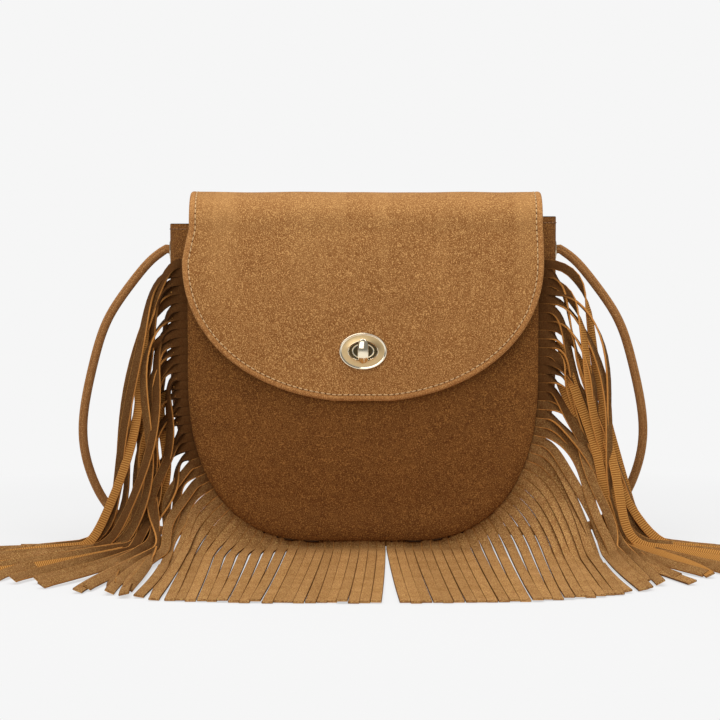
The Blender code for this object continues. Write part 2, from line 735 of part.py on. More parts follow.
def lock_knob(finish):
    """A bar with sloped, rounded ends: a row of sections up its length, with the spindle behind."""
    bm = bmesh.new()
    rings = []
    for index in range(KNOB_SECTIONS):
        t = -1 + 2 * index / (KNOB_SECTIONS - 1)
        t = math.copysign(abs(t) ** KNOB_SPACING_POWER, t)
        half = KNOB_WIDTH / 2 * max(1 - abs(t) ** KNOB_OUTLINE_POWER, 0.02) ** 0.5
        depth = KNOB_EDGE_DEPTH + (KNOB_DEPTH - KNOB_EDGE_DEPTH) * (1 - abs(t) ** KNOB_DEPTH_POWER)
        edge = min(KNOB_EDGE_DEPTH / 2, half / 2)
        shape = [
            (-half, 0.0), (half, 0.0), (half, -depth + edge), (half - edge, -depth),
            (-half + edge, -depth), (-half, -depth + edge),
        ]
        rings.append([bm.verts.new((x, y, KNOB_LENGTH / 2 * t)) for x, y in shape])
    for lower, upper in zip(rings, rings[1:]):
        for step in range(len(lower)):
            after = (step + 1) % len(lower)
            bm.faces.new((lower[step], lower[after], upper[after], upper[step]))
    bm.faces.new(rings[0][::-1])
    bm.faces.new(rings[-1])
    bmesh.ops.recalc_face_normals(bm, faces=bm.faces)
    made = add_object("lock_knob", mesh_from(bm, "lock_knob"), finish)
    made.location = (0.0, PANEL_FACE - KNOB_BACK, LOCK_HEIGHT)
    end = RETAINER_FRONT - RETAINER_THICKNESS - GAP
    start = KNOB_BACK + KNOB_EDGE_DEPTH
    middle = (0.0, PANEL_FACE - (start + end) / 2, LOCK_HEIGHT)
    cut(made, round_cutter("spindle", SPINDLE_RADIUS, start - end, middle), "UNION")
    smooth(made)
    return made


def turned(name, profile, middle, turn, finish, steps=14):
    """A ring turned from a closed profile of (radius, height), with its axis along X or Y."""
    mesh = bpy.data.meshes.new(name)
    count = len(profile)
    mesh.from_pydata([(r, 0.0, h) for r, h in profile], [(i, (i + 1) % count) for i in range(count)], [])
    made = add_object(name, mesh, finish)
    spin = made.modifiers.new("turned", "SCREW")
    spin.angle = 2 * math.pi
    spin.steps = steps
    spin.render_steps = steps
    spin.use_merge_vertices = True
    spin.merge_threshold = 0.00001
    spin.use_smooth_shade = False
    made.location = middle
    made.rotation_euler = turn
    return made


def ring_profile(inner, outer, low, high):
    return [(outer, high), (outer, low), (inner, low), (inner, high)]


def lock_retainer(finish):
    profile = ring_profile(SPINDLE_RADIUS + GAP, RETAINER_RADIUS, 0.0, RETAINER_THICKNESS)
    middle = (0.0, PANEL_FACE - RETAINER_FRONT + RETAINER_THICKNESS, LOCK_HEIGHT)
    return turned("lock_retainer", profile, middle, (math.pi / 2, 0.0, 0.0), finish)


# Eyelets

def eyelet(side, finish):
    top = GAP + EYELET_RIM_THICKNESS
    rim = BARREL_RADIUS + EYELET_RIM
    flare = BARREL_RADIUS + EYELET_FLARE
    profile = [
        (rim, top), (rim, GAP), (BARREL_RADIUS, GAP), (BARREL_RADIUS, -FLARE_FRONT),
        (flare, -FLARE_FRONT), (flare, -FLARE_BACK), (EYELET_BORE, -FLARE_BACK), (EYELET_BORE, top),
    ]
    name = "eyelet_left" if side < 0 else "eyelet_right"
    turn = (0.0, side * math.pi / 2, 0.0)
    return turned(name, profile, (side * GUSSET_FACE, 0.0, EYELET_HEIGHT), turn, finish)


def eyelet_washer(side, finish):
    inner = BARREL_RADIUS + GAP
    outer = BARREL_RADIUS + WASHER_RIM
    profile = ring_profile(inner, outer, -WASHER_FRONT - WASHER_THICKNESS, -WASHER_FRONT)
    name = "eyelet_washer_left" if side < 0 else "eyelet_washer_right"
    turn = (0.0, side * math.pi / 2, 0.0)
    return turned(name, profile, (side * GUSSET_FACE, 0.0, EYELET_HEIGHT), turn, finish)


# Strap

def smooth_route(points, step):
    """Points at even steps along a smooth curve through the route's own points."""
    padded = [points[0] * 2 - points[1]] + list(points) + [points[-1] * 2 - points[-2]]
    fine = []
    for index in range(1, len(padded) - 2):
        p0, p1, p2, p3 = padded[index - 1:index + 3]
        for part in range(16):
            t = part / 16
            turn = p0 * 2 - p1 * 5 + p2 * 4 - p3
            bend = p0 * -1 + p1 * 3 - p2 * 3 + p3
            fine.append(p1 + (p2 - p0) * (t / 2) + turn * (t * t / 2) + bend * (t ** 3 / 2))
    fine.append(padded[-2])
    lengths = [0.0]
    for before, after in zip(fine, fine[1:]):
        lengths.append(lengths[-1] + (after - before).length)
    count = max(round(lengths[-1] / step), 2)
    even = []
    index = 0
    for part in range(count + 1):
        target = lengths[-1] * part / count
        while index < len(lengths) - 2 and lengths[index + 1] < target:
            index += 1
        share = (target - lengths[index]) / (lengths[index + 1] - lengths[index])
        even.append(fine[index].lerp(fine[index + 1], min(share, 1.0)))
    return even


def strap_run(name, side, end_points, finish):
    start = GUSSET_FACE - FLARE_BACK
    route = [(start, 0.0, EYELET_HEIGHT), (GUSSET_FACE + STRAP_STRAIGHT, 0.0, EYELET_HEIGHT)]
    route += list(STRAP_ROUTE) + list(end_points)
    points = smooth_route([Vector((side * x, y, z)) for x, y, z in route], STRAP_STEP)
    curve = bpy.data.curves.new(name, "CURVE")
    curve.dimensions = "3D"
    curve.bevel_depth = STRAP_RADIUS
    curve.bevel_resolution = 2
    curve.use_fill_caps = True
    spline = curve.splines.new("POLY")
    spline.points.add(len(points) - 1)
    for target, point in zip(spline.points, points):
        target.co = (*point, 1.0)
    return add_object(name, curve, finish)


def strap_coil(finish):
    low = STRAP_FLOOR
    high = low + 2 * STRAP_RADIUS * (COIL_TURNS + 1)
    profile = ring_profile(COIL_RADIUS - STRAP_RADIUS, COIL_RADIUS + STRAP_RADIUS, low, high)
    return turned("strap_coil", profile, (0.0, COIL_CENTRE_Y, 0.0), (0.0, 0.0, 0.0), finish, 24)


def strap_knot(side, finish):
    name = "strap_knot_left" if side < 0 else "strap_knot_right"
    bm = bmesh.new()
    bmesh.ops.create_uvsphere(bm, u_segments=8, v_segments=6, radius=KNOT_RADIUS)
    made = add_object(name, mesh_from(bm, name), finish)
    made.rotation_euler = (0.0, math.pi / 2, 0.0)
    made.location = (side * (GUSSET_FACE - FLARE_BACK - GAP - KNOT_RADIUS), 0.0, EYELET_HEIGHT)
    smooth(made)
    return made


def build():
    tan = material("suede_tan", SUEDE_TAN, 0.85)
    brown = material("suede_brown", SUEDE_BROWN, 0.9)
    strip = material("suede_fringe", SUEDE_FRINGE, 0.85)
    cloth = material("lining_cloth", LINING_BEIGE, 0.9)
    gold = material("pale_gold", PALE_GOLD, 0.25, 1.0)

    front = front_panel(brown)
    for turn in (math.pi / 2, -math.pi / 2):
        cut(front, slot(f"panel_slot_{round(math.degrees(turn))}", BASE_PRONG_HEIGHT, turn))
    back_panel(brown)
    holes = round_cutter("eyelet_holes", BARREL_RADIUS + GAP, 0.3, (0.0, 0.0, EYELET_HEIGHT), "X")
    cut(gusset(tan), holes)
    cut(lining(cloth), holes)
    flap(tan)
    flap_lining(tan)
    fringe_length("fringe_left", -1, strip)
    fringe_length("fringe_right", 1, strip)

    lock_plate(gold)
    lock_plate_backer(gold)
    lock_base(gold)
    lock_base_washer(gold)
    lock_knob(gold)
    lock_retainer(gold)
    for side in (-1, 1):
        eyelet(side, gold)
        eyelet_washer(side, gold)
        strap_knot(side, tan)
    strap_run("strap_left_run", -1, STRAP_TO_COIL, tan)
    strap_run("strap_right_run", 1, STRAP_FROM_COIL, tan)
    strap_coil(tan)


clear_scene()
collections = {"parts": collection("fringed_suede_bag"), "cutters": collection("cutters")}
build()
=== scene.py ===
import math
import random

import bmesh
import bpy
from mathutils import Matrix, Vector, kdtree, noise


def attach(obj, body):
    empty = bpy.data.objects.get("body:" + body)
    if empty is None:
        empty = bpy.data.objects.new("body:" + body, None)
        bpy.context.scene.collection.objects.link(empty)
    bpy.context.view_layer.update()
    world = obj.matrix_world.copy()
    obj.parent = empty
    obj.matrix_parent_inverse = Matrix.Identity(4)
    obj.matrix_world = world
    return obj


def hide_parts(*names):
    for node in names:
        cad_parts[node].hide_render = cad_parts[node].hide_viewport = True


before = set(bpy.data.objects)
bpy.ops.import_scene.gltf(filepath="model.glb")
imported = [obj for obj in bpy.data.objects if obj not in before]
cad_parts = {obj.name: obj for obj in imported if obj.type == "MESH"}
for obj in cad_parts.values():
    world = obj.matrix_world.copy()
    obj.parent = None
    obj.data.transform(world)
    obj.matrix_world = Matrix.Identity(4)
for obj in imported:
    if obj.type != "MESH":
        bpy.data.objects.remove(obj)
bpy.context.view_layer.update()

# %% [markdown]
# A lesson in making a fringed suede bag that stands on a white studio floor.
# The frame holds the solids of the bag. Each lesson step makes one visible piece from the same
# sizes, so that the picture and the solids agree. X runs across the bag, -Y is its front, and Z is up.

# %% [markdown]
# The photo was taken from far away with a long lens, a little above the middle of the bag, because the floor
# is seen flatly and the side strips hardly shrink. A camera could be aimed with a constraint, but plain
# numbers are easier to keep equal to the photo: 1.7 m away, 0.216 m up, tilted down by three degrees.

# %% Camera
CAMERA_PLACE = (-0.002, -1.72, 0.216)
CAMERA_DROP = 3.1
FOCAL_LENGTH = 129.5
camera_data = bpy.data.cameras.new("camera")
camera_data.lens = FOCAL_LENGTH
camera_data.sensor_width = 36.0
camera_data.clip_start = 0.05
camera = bpy.data.objects.new("camera", camera_data)
camera.location = CAMERA_PLACE
camera.rotation_euler = (math.radians(90 - CAMERA_DROP), 0.0, 0.0)
bpy.context.scene.collection.objects.link(camera)
bpy.context.scene.camera = camera
bpy.context.scene.view_settings.view_transform = "Standard"
print("camera:", CAMERA_PLACE, "lens", FOCAL_LENGTH, "mm")

# %% [markdown]
# Every finish is a small tree of shader nodes. The trees could be drawn by hand in the shader editor, but
# helpers keep them readable in a script: one adds a node and sets its sockets, others read a noise or a
# number of the mesh, stretch a value, mix two colours or add relief. Colours are written as they look, in
# 0 to 255, and turned to the linear numbers that a shader wants.

# %% Helpers for finishes
def linear(red, green, blue):
    """A colour as seen (0 to 255) as the linear colour that shaders use."""
    values = []
    for value in (red, green, blue):
        share = value / 255
        values.append(share / 12.92 if share <= 0.04045 else ((share + 0.055) / 1.055) ** 2.4)
    return (*values, 1.0)


def add_node(tree, kind, values=None, **settings):
    """A node with its settings, and its input sockets set or linked by name or number."""
    node = tree.nodes.new(kind)
    for name, value in settings.items():
        setattr(node, name, value)
    for socket, value in (values or {}).items():
        if isinstance(value, bpy.types.NodeSocket):
            tree.links.new(value, node.inputs[socket])
        else:
            node.inputs[socket].default_value = value
    return node


def new_material(name):
    """A material with its tree and its shader."""
    made = bpy.data.materials.new(name)
    made.use_nodes = True
    return made, made.node_tree, made.node_tree.nodes["Principled BSDF"]


def ramp(tree, factor, low, high):
    """How far factor is from low to high, from 0 to 1."""
    node = add_node(tree, "ShaderNodeMapRange", {"Value": factor, "From Min": low, "From Max": high})
    return node.outputs["Result"]


def mix(tree, factor, first, second, blend="MIX"):
    """Two colours mixed by a factor."""
    node = add_node(tree, "ShaderNodeMix", data_type="RGBA", blend_type=blend)
    for socket, value in (("Factor_Float", factor), ("A_Color", first), ("B_Color", second)):
        target = next(item for item in node.inputs if item.identifier == socket)
        if isinstance(value, bpy.types.NodeSocket):
            tree.links.new(value, target)
        else:
            target.default_value = value
    return next(item for item in node.outputs if item.identifier == "Result_Color")


def math_node(tree, operation, first, second=0.0):
    """One sum of two values."""
    return add_node(tree, "ShaderNodeMath", {0: first, 1: second}, operation=operation).outputs[0]


def part_of(tree, factor, share):
    """A factor made weaker."""
    return math_node(tree, "MULTIPLY", factor, share)


def object_place(tree):
    """Where on the object a point is, in metres."""
    return add_node(tree, "ShaderNodeTexCoord").outputs["Object"]


def speckle(tree, place, scale, detail):
    """A noise from 0 to 1; the scale says how fine it is."""
    values = {"Vector": place, "Scale": scale, "Detail": detail}
    return add_node(tree, "ShaderNodeTexNoise", values).outputs["Fac"]


def mesh_number(tree, name):
    """A number that the mesh itself carries."""
    return add_node(tree, "ShaderNodeAttribute", attribute_name=name).outputs["Fac"]


def add_relief(tree, shader, height, strength, distance):
    """Small bumps on the surface, at most about the distance high."""
    values = {"Height": height, "Strength": strength, "Distance": distance}
    tree.links.new(add_node(tree, "ShaderNodeBump", values).outputs[0], shader.inputs["Normal"])


print("helpers ready; a middle grey is", [round(value, 3) for value in linear(128, 128, 128)])

# %% [markdown]
# Faux suede is a cloth with a short brushed nap. From near it has a fine yellowish and dark speckle, from
# afar soft cloudy patches where the nap lies another way. A photo texture could show that, but four noises
# of different size need no picture and stay sharp: two make the clouds and patches, two the dark grain and
# the light flecks, and the grain also makes the relief. The flap has brushed streaks that fade downwards,
# and its fold on top is painted paler, as painted light where it faces up. Where the mesh is marked as a
# rim, the edge gets another colour: lighter where the flap is worn, and dark as painted shade in the seams
# of the body. A little sheen gives the pale bloom at grazing angles.

# %% Suede
CLOUDS, PATCHES, GRAIN, FLECKS = 40.0, 260.0, 1700.0, 1450.0
STREAK_STRETCH = (60.0, 8.0, 5.0)
STREAK_HEIGHTS = (0.15, 0.215)
# painted light: the rolled fold on top is made paler where it faces up
FOLD_LIGHT_HEIGHTS = (0.205, 0.230)
FOLD_LIGHT_SHARE = 0.12
NAP_HEIGHT = 0.0005


def brushed(tree, place, colour, light, streaks):
    """A colour with pale streaks towards the top, and the fold painted paler as painted light."""
    stretch = add_node(tree, "ShaderNodeMapping", {"Vector": place, "Scale": STREAK_STRETCH})
    streak = ramp(tree, speckle(tree, stretch.outputs[0], 1.0, 3.0), 0.46, 0.68)
    height = add_node(tree, "ShaderNodeSeparateXYZ", {0: place}).outputs["Z"]
    share = math_node(tree, "MULTIPLY", streak, ramp(tree, height, *STREAK_HEIGHTS))
    colour = mix(tree, part_of(tree, share, streaks), colour, light)
    # painted light: a paler colour over the fold's heights
    return mix(tree, part_of(tree, ramp(tree, height, *FOLD_LIGHT_HEIGHTS), FOLD_LIGHT_SHARE), colour, light)


def suede(name, middle, dark, light, edge, rim_wear_and_shade_share, streaks=0.0):
    """Suede around a middle colour, with darker clouds, lighter flecks, and a rim colour that is wear on the
    flap and painted shade on the body.
    """
    made, tree, shader = new_material(name)
    place = object_place(tree)
    cloud = speckle(tree, place, CLOUDS, 4.0)
    patch = speckle(tree, place, PATCHES, 3.0)
    grain = speckle(tree, place, GRAIN, 1.0)
    fleck = speckle(tree, place, FLECKS, 1.0)
    colour = mix(tree, part_of(tree, ramp(tree, cloud, 0.38, 0.68), 0.5), middle, dark)
    colour = mix(tree, part_of(tree, ramp(tree, patch, 0.42, 0.72), 0.4), colour, light)
    colour = mix(tree, ramp(tree, grain, 0.40, 0.56), dark, colour)
    colour = mix(tree, ramp(tree, fleck, 0.54, 0.64), colour, light)
    if streaks:
        colour = brushed(tree, place, colour, light, streaks)
    # along the rim: lighter wear on the flap, and painted shade in the seams of the body
    colour = mix(tree, part_of(tree, mesh_number(tree, "rim"), rim_wear_and_shade_share), colour, edge)
    tree.links.new(colour, shader.inputs["Base Color"])
    add_relief(tree, shader, math_node(tree, "ADD", grain, part_of(tree, patch, 0.8)), 0.5, NAP_HEIGHT)
    shader.inputs["Roughness"].default_value = 0.9
    shader.inputs["Specular IOR Level"].default_value = 0.15
    shader.inputs["Sheen Weight"].default_value = 0.12
    shader.inputs["Sheen Roughness"].default_value = 0.5
    shader.inputs["Sheen Tint"].default_value = light
    return made


TAN = suede("suede_tan", linear(160, 109, 60), linear(128, 80, 38), linear(206, 156, 96),
            linear(200, 138, 82), 0.2, streaks=0.24)
# the body's rim colour is painted shade: a dark crease in its seams
BROWN = suede("suede_brown", linear(122, 76, 34), linear(90, 52, 20), linear(158, 108, 54),
              linear(34, 19, 8), 0.9)
STRAP_SUEDE = suede("suede_strap", linear(162, 112, 64), linear(142, 94, 50), linear(182, 134, 84),
                    linear(110, 70, 34), 0.0)
print("suedes:", TAN.name, BROWN.name, STRAP_SUEDE.name)

# %% [markdown]
# The metal is a champagne plating: satin on its flat faces, bright on its polished rims, and painted dark in
# the hollow of the lock, as painted shade where little light gets in. Threads, needle holes and lining are
# matt, so one plain finish with a fine unevenness serves them all; the needle holes are dark spots of painted
# shade. The strap's thread is nearly as dark as the strap.

# %% Metal, thread and lining finishes
def metal(name, colour, roughness, grain):
    """Plated metal with a faint brushed unevenness in its polish."""
    made, tree, shader = new_material(name)
    uneven = speckle(tree, object_place(tree), 900.0, 2.0)
    values = {"Value": uneven, "To Min": roughness - grain, "To Max": roughness + grain}
    rough = add_node(tree, "ShaderNodeMapRange", values)
    tree.links.new(rough.outputs[0], shader.inputs["Roughness"])
    shader.inputs["Base Color"].default_value = colour
    shader.inputs["Metallic"].default_value = 1.0
    return made


def plain(name, colour, roughness):
    """A matt finish with a fine unevenness."""
    made, tree, shader = new_material(name)
    speck = speckle(tree, object_place(tree), 1500.0, 2.0)
    darker = tuple(value * 0.7 for value in colour[:3]) + (1.0,)
    tree.links.new(mix(tree, speck, darker, colour), shader.inputs["Base Color"])
    shader.inputs["Roughness"].default_value = roughness
    return made


SATIN_GOLD = metal("satin_gold", linear(222, 192, 142), 0.34, 0.05)
BRIGHT_GOLD = metal("bright_gold", linear(250, 236, 208), 0.10, 0.03)
# painted shade: a dark gold for the hollow of the lock, where little light gets in
PAINTED_SHADE_GOLD = metal("gold_painted_shade", linear(84, 74, 52), 0.45, 0.05)
THREAD = plain("thread", linear(226, 188, 136), 0.8)
STRAP_THREAD = plain("strap_thread", linear(150, 104, 60), 0.8)
# painted shade: the dark spots that stand for the needle holes
NEEDLE_HOLE_SHADE = plain("needle_hole_shade", linear(70, 40, 16), 0.9)
LINING_CLOTH = plain("lining_cloth", linear(184, 160, 130), 0.9)
print("metals and threads:", SATIN_GOLD.name, BRIGHT_GOLD.name, THREAD.name)

# %% [markdown]
# The strap is a rolled suede cord of 6 mm that leaves the bag through an eyelet in each ear, hangs down
# beside it and runs behind it along the floor. Only its ends are seen. A whole crossbody strap is about
# 1.2 m long, so behind the bag it lies in two coils. A curve with a bevel would do, but a swept mesh lets
# the cord have its lengthwise seam. Its route goes through a few places read off the photo and two turns of
# a coil.

# %% The strap's route
GUSSET_FACE = 0.127
FLARE_BACK = 0.0044
EYELET_HEIGHT = 0.196
STRAP_RADIUS = 0.003
STRAP_STRAIGHT = 0.009
COIL_RADIUS = 0.033
COIL_TURNS = 2
COIL_CENTRE_Y = 0.082
COIL_RISE = 0.0062
COIL_STEPS = 16
CORD_ON_FLOOR = 0.0034
STRAP_STEP = 0.004
STRAP_ROUNDS = 14
FREE_BEYOND = 0.1
SIDE_ROUTE = (
    (0.1440, 0.000, 0.186),
    (0.153, 0.001, 0.175),
    (0.162, 0.002, 0.163),
    (0.172, 0.003, 0.147),
    (0.181, 0.006, 0.116),
    (0.187, 0.009, 0.088),
    (0.188, 0.012, 0.066),
    (0.182, 0.018, 0.041),
    (0.170, 0.026, 0.018),
    (0.150, 0.036, 0.0055),
    (0.125, 0.043, 0.0034),
    (0.095, 0.047, 0.0034),
)
INTO_COIL = ((0.060, 0.0487, 0.0034), (0.0205, 0.049, 0.0034))
OUT_OF_COIL = ((0.060, 0.0487, 0.0052), (0.040, 0.0488, 0.0105), (0.0205, 0.049, 0.0152))


def side_run(side, end_points):
    """The route's points on one side, from the eyelet to the coil."""
    start = [(GUSSET_FACE + out, 0.0, EYELET_HEIGHT) for out in (-FLARE_BACK, STRAP_STRAIGHT)]
    return [Vector((side * x, y, z)) for x, y, z in start + list(SIDE_ROUTE) + list(end_points)]


def coil_points():
    """Two turns of cord, each on the one below."""
    points = []
    steps = COIL_STEPS * COIL_TURNS
    for step in range(steps + 1):
        angle = -math.pi / 2 + 2 * math.pi * COIL_TURNS * step / steps
        height = CORD_ON_FLOOR + COIL_RISE * COIL_TURNS * step / steps
        points.append(Vector((
            COIL_RADIUS * math.cos(angle), COIL_CENTRE_Y + COIL_RADIUS * math.sin(angle), height,
        )))
    return points


print("places on the strap's route:", 2 * (len(SIDE_ROUTE) + 2) + len(coil_points()))

# %% [markdown]
# The places are few and far apart, so a smooth curve is drawn through them, with points at even steps.
# Blender's own curves could do that too, but the sweep and the stitches below take plain points. Then the
# free runs are rounded by moving each point towards its neighbours, because a hanging cord has no corners.

# %% The strap's line
def smooth_line(points, step):
    """Points at even steps along a smooth curve through the given points."""
    padded = [points[0] * 2 - points[1]] + list(points) + [points[-1] * 2 - points[-2]]
    fine = []
    for index in range(1, len(padded) - 2):
        p0, p1, p2, p3 = padded[index - 1:index + 3]
        for part in range(16):
            t = part / 16
            bend = p3 - p2 * 3 + p1 * 3 - p0
            turn = p0 * 2 - p1 * 5 + p2 * 4 - p3
            fine.append(p1 + (p2 - p0) * (t / 2) + turn * (t * t / 2) + bend * (t ** 3 / 2))
    fine.append(padded[-2])
    lengths = [0.0]
    for before, after in zip(fine, fine[1:]):
        lengths.append(lengths[-1] + (after - before).length)
    count = max(round(lengths[-1] / step), 2)
    even = []
    index = 0
    for part in range(count + 1):
        target = lengths[-1] * part / count
        while index < len(lengths) - 2 and lengths[index + 1] < target:
            index += 1
        share = (target - lengths[index]) / (lengths[index + 1] - lengths[index])
        even.append(fine[index].lerp(fine[index + 1], min(share, 1.0)))
    return even


def softened(points, rounds):
    """The line with its corners rounded beside the bag, where the cord hangs free."""
    points = list(points)
    for _ in range(rounds):
        moved = list(points)
        for index in range(3, len(points) - 3):
            if abs(points[index].x) > FREE_BEYOND:
                moved[index] = (points[index - 1] + points[index] * 2 + points[index + 1]) / 4
        points = moved
    return points


strap_route = side_run(-1, INTO_COIL) + coil_points() + side_run(1, OUT_OF_COIL)[::-1]
STRAP_POINTS = softened(smooth_line(strap_route, STRAP_STEP), STRAP_ROUNDS)

# %% [markdown]
# Most pieces of this bag are skins: rings of points, joined by faces to a closed surface. A few helpers do
# what all of them need.

# %% Helpers for skins
def add_object(name, mesh, *finishes):
    """An object at the origin with its materials."""
    made = bpy.data.objects.new(name, mesh)
    bpy.context.scene.collection.objects.link(made)
    for finish in finishes:
        mesh.materials.append(finish)
    return made


def join_rings(bm, first, second, flip=False):
    """Faces between two closed rings of points."""
    made = []
    for step in range(len(first)):
        after = (step + 1) % len(first)
        corners = (first[step], first[after], second[after], second[step])
        if flip:
            corners = (first[step], second[step], second[after], first[after])
        made.append(bm.faces.new(corners))
    return made


def finished_mesh(bm, name, sharp=None):
    """The mesh of a skin; with an angle in degrees it faces outwards and keeps sharper edges sharp."""
    if sharp:
        bmesh.ops.recalc_face_normals(bm, faces=bm.faces)
    mesh = bpy.data.meshes.new(name)
    bm.to_mesh(mesh)
    bm.free()
    mesh.shade_smooth()
    if sharp:
        mesh.set_sharp_from_angle(angle=math.radians(sharp))
    return mesh


def belongs(piece, body, look, *solids):
    """What the piece rides on, and the solids that it takes the place of; look is not used."""
    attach(piece, body)
    if solids:
        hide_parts(*solids)


print("helpers for skins ready")

# %% [markdown]
# A section swept along a path needs a frame that doesn't spin. Each new frame is the last one turned just
# enough to follow the path. The seam of the rolled cord is a narrow groove in its section, and it faces
# the viewer where the cord is seen.

# %% Sweeping a section along a path
def frames_along(points, first):
    """For each point its direction and a side direction that doesn't spin, which starts at first."""
    frames = []
    side = first
    for index, point in enumerate(points):
        before = points[max(index - 1, 0)]
        after = points[min(index + 1, len(points) - 1)]
        run = (after - before).normalized()
        side = (side - run * side.dot(run)).normalized()
        frames.append((point, run, side))
    return frames


def swept(name, points, section, first, finish):
    """A closed tube whose section is (distance along side, distance along the third direction)."""
    bm = bmesh.new()
    rings = []
    for point, run, side in frames_along(points, first):
        third = run.cross(side)
        rings.append([bm.verts.new(point + side * a + third * b) for a, b in section])
    for lower, upper in zip(rings, rings[1:]):
        join_rings(bm, lower, upper)
    bm.faces.new(rings[0][::-1])
    bm.faces.new(rings[-1])
    return add_object(name, finished_mesh(bm, name, 50), finish)


SEAM_ANGLE = math.radians(25)
SEAM_GROOVE = 0.0005
SEAM_REACH = 0.25
STRAP_SIDES = 28
strap_section = []
for step in range(STRAP_SIDES):
    angle = 2 * math.pi * step / STRAP_SIDES
    off = abs(math.atan2(math.sin(angle - SEAM_ANGLE), math.cos(angle - SEAM_ANGLE)))
    radius = STRAP_RADIUS - SEAM_GROOVE * max(1 - off / SEAM_REACH, 0.0)
    strap_section.append((radius * math.cos(angle), radius * math.sin(angle)))
strap = swept("strap", STRAP_POINTS, strap_section, Vector((0, -1, 0)), STRAP_SUEDE)
belongs(strap, "bag", "suede_strap", "strap_left_run", "strap_coil", "strap_right_run")
print("strap:", len(strap.data.polygons), "faces")

# %% [markdown]
# The body's shape comes from one outline, the seam of the front panel: flat below, a round corner, then a
# straight side. The same few formulas were used for the solids, and all later pieces ask them for their
# places. How far a point lies from the seam is asked thousands of times, so a search tree answers it.

# %% The outline of the seams
HALF_WIDTH = 0.1145
GUSSET_HALF_DEPTH = 0.0268
MOUTH_HEIGHT = 0.212
BOTTOM_DROP = 0.006
BOTTOM_FLAT = 0.030
CORNER_HEIGHT = 0.110
CORNER_POWER = 2.4
CORNER_TOP = BOTTOM_DROP + CORNER_HEIGHT
LOCK_HEIGHT = 0.131
SUEDE = 0.0014
GAP = 0.0003
FRINGE_THICKNESS = 0.0012
FRONT_DEPTH = GUSSET_HALF_DEPTH + GAP + FRINGE_THICKNESS + GAP + SUEDE
BACK_DEPTH = GUSSET_HALF_DEPTH + GAP + SUEDE
FRINGE_PLANE = -(GUSSET_HALF_DEPTH + GAP + FRINGE_THICKNESS / 2)


def corner_point(turn):
    """Half outline between the flat bottom (turn 0) and the straight side (turn 1)."""
    angle = turn * math.pi / 2
    across = math.sin(angle) ** (2 / CORNER_POWER)
    down = max(math.cos(angle), 0.0) ** (2 / CORNER_POWER)
    return BOTTOM_FLAT + (HALF_WIDTH - BOTTOM_FLAT) * across, CORNER_TOP - CORNER_HEIGHT * down


CORNER_STEPS = 160
CORNER_POINTS = [corner_point(step / CORNER_STEPS) for step in range(CORNER_STEPS + 1)]
OUTLINE = [(0.0, BOTTOM_DROP)] + CORNER_POINTS + [(HALF_WIDTH, MOUTH_HEIGHT)]
OUTLINE_LENGTHS = [0.0]
for before, after in zip(OUTLINE, OUTLINE[1:]):
    OUTLINE_LENGTHS.append(OUTLINE_LENGTHS[-1] + math.dist(before, after))
SEAM_HALF = OUTLINE_LENGTHS[-1]


def seam_point(along):
    """Point (x, z) on the seam at a signed length from the middle of the bottom."""
    length = min(abs(along), SEAM_HALF)
    index = 1
    while index < len(OUTLINE) - 1 and length > OUTLINE_LENGTHS[index]:
        index += 1
    start, end = OUTLINE_LENGTHS[index - 1], OUTLINE_LENGTHS[index]
    share = (length - start) / (end - start) if end > start else 0.0
    (x0, z0), (x1, z1) = OUTLINE[index - 1], OUTLINE[index]
    return Vector((math.copysign(x0 + (x1 - x0) * share, along), z0 + (z1 - z0) * share))


def seam_normal(along):
    """Direction (x, z) away from the bag, square to the seam."""
    reach = 0.003
    inside = min(max(along, reach - SEAM_HALF), SEAM_HALF - reach)
    run = seam_point(inside + reach) - seam_point(inside - reach)
    return Vector((run.y, -run.x)).normalized()


def seam_length_at(height):
    """Length along the right half of the seam where it reaches a height."""
    for point, length in zip(OUTLINE, OUTLINE_LENGTHS):
        if point[1] >= height:
            return length - (point[1] - height)
    return SEAM_HALF


EDGE_STEPS = 3000
edge_finder = kdtree.KDTree(EDGE_STEPS + 1)
for step in range(EDGE_STEPS + 1):
    x, z = seam_point(SEAM_HALF * step / EDGE_STEPS)
    edge_finder.insert((x, z, 0.0), step)
edge_finder.balance()


def from_seam(x, z):
    """How far inside the seam a point of the panel lies."""
    return edge_finder.find((abs(x), z, 0.0))[2]


print("half seam:", round(SEAM_HALF, 4), "m")

# %% [markdown]
# A sewn bag is made of soft layers, so each is a shell: a fine grid of points for its outer face, the same
# grid moved inwards for its inner face, and a rounded rim between them. A Solidify modifier would give
# the wall too, but its rim is square, and suede edges are soft. The rim's points are marked in the mesh, so
# that the suede can colour them.

# %% Making a shell from a grid of points
def grid_normals(grid):
    """Outward directions of a grid whose rows run left to right as seen from outside, from the bottom up."""
    rows, columns = len(grid), len(grid[0])
    normals = []
    for r in range(rows):
        line = []
        for c in range(columns):
            across = grid[r][min(c + 1, columns - 1)] - grid[r][max(c - 1, 0)]
            up = grid[min(r + 1, rows - 1)][c] - grid[max(r - 1, 0)][c]
            line.append(across.cross(up).normalized())
        normals.append(line)
    return normals


def round_rim(thickness, steps=4):
    """The profile of a rounded edge, as (outwards, up) from the outer face to the inner one."""
    half = thickness / 2
    angles = [math.pi * step / (steps + 1) for step in range(1, steps + 1)]
    return [(half * math.sin(angle), half * math.cos(angle) - half) for angle in angles]


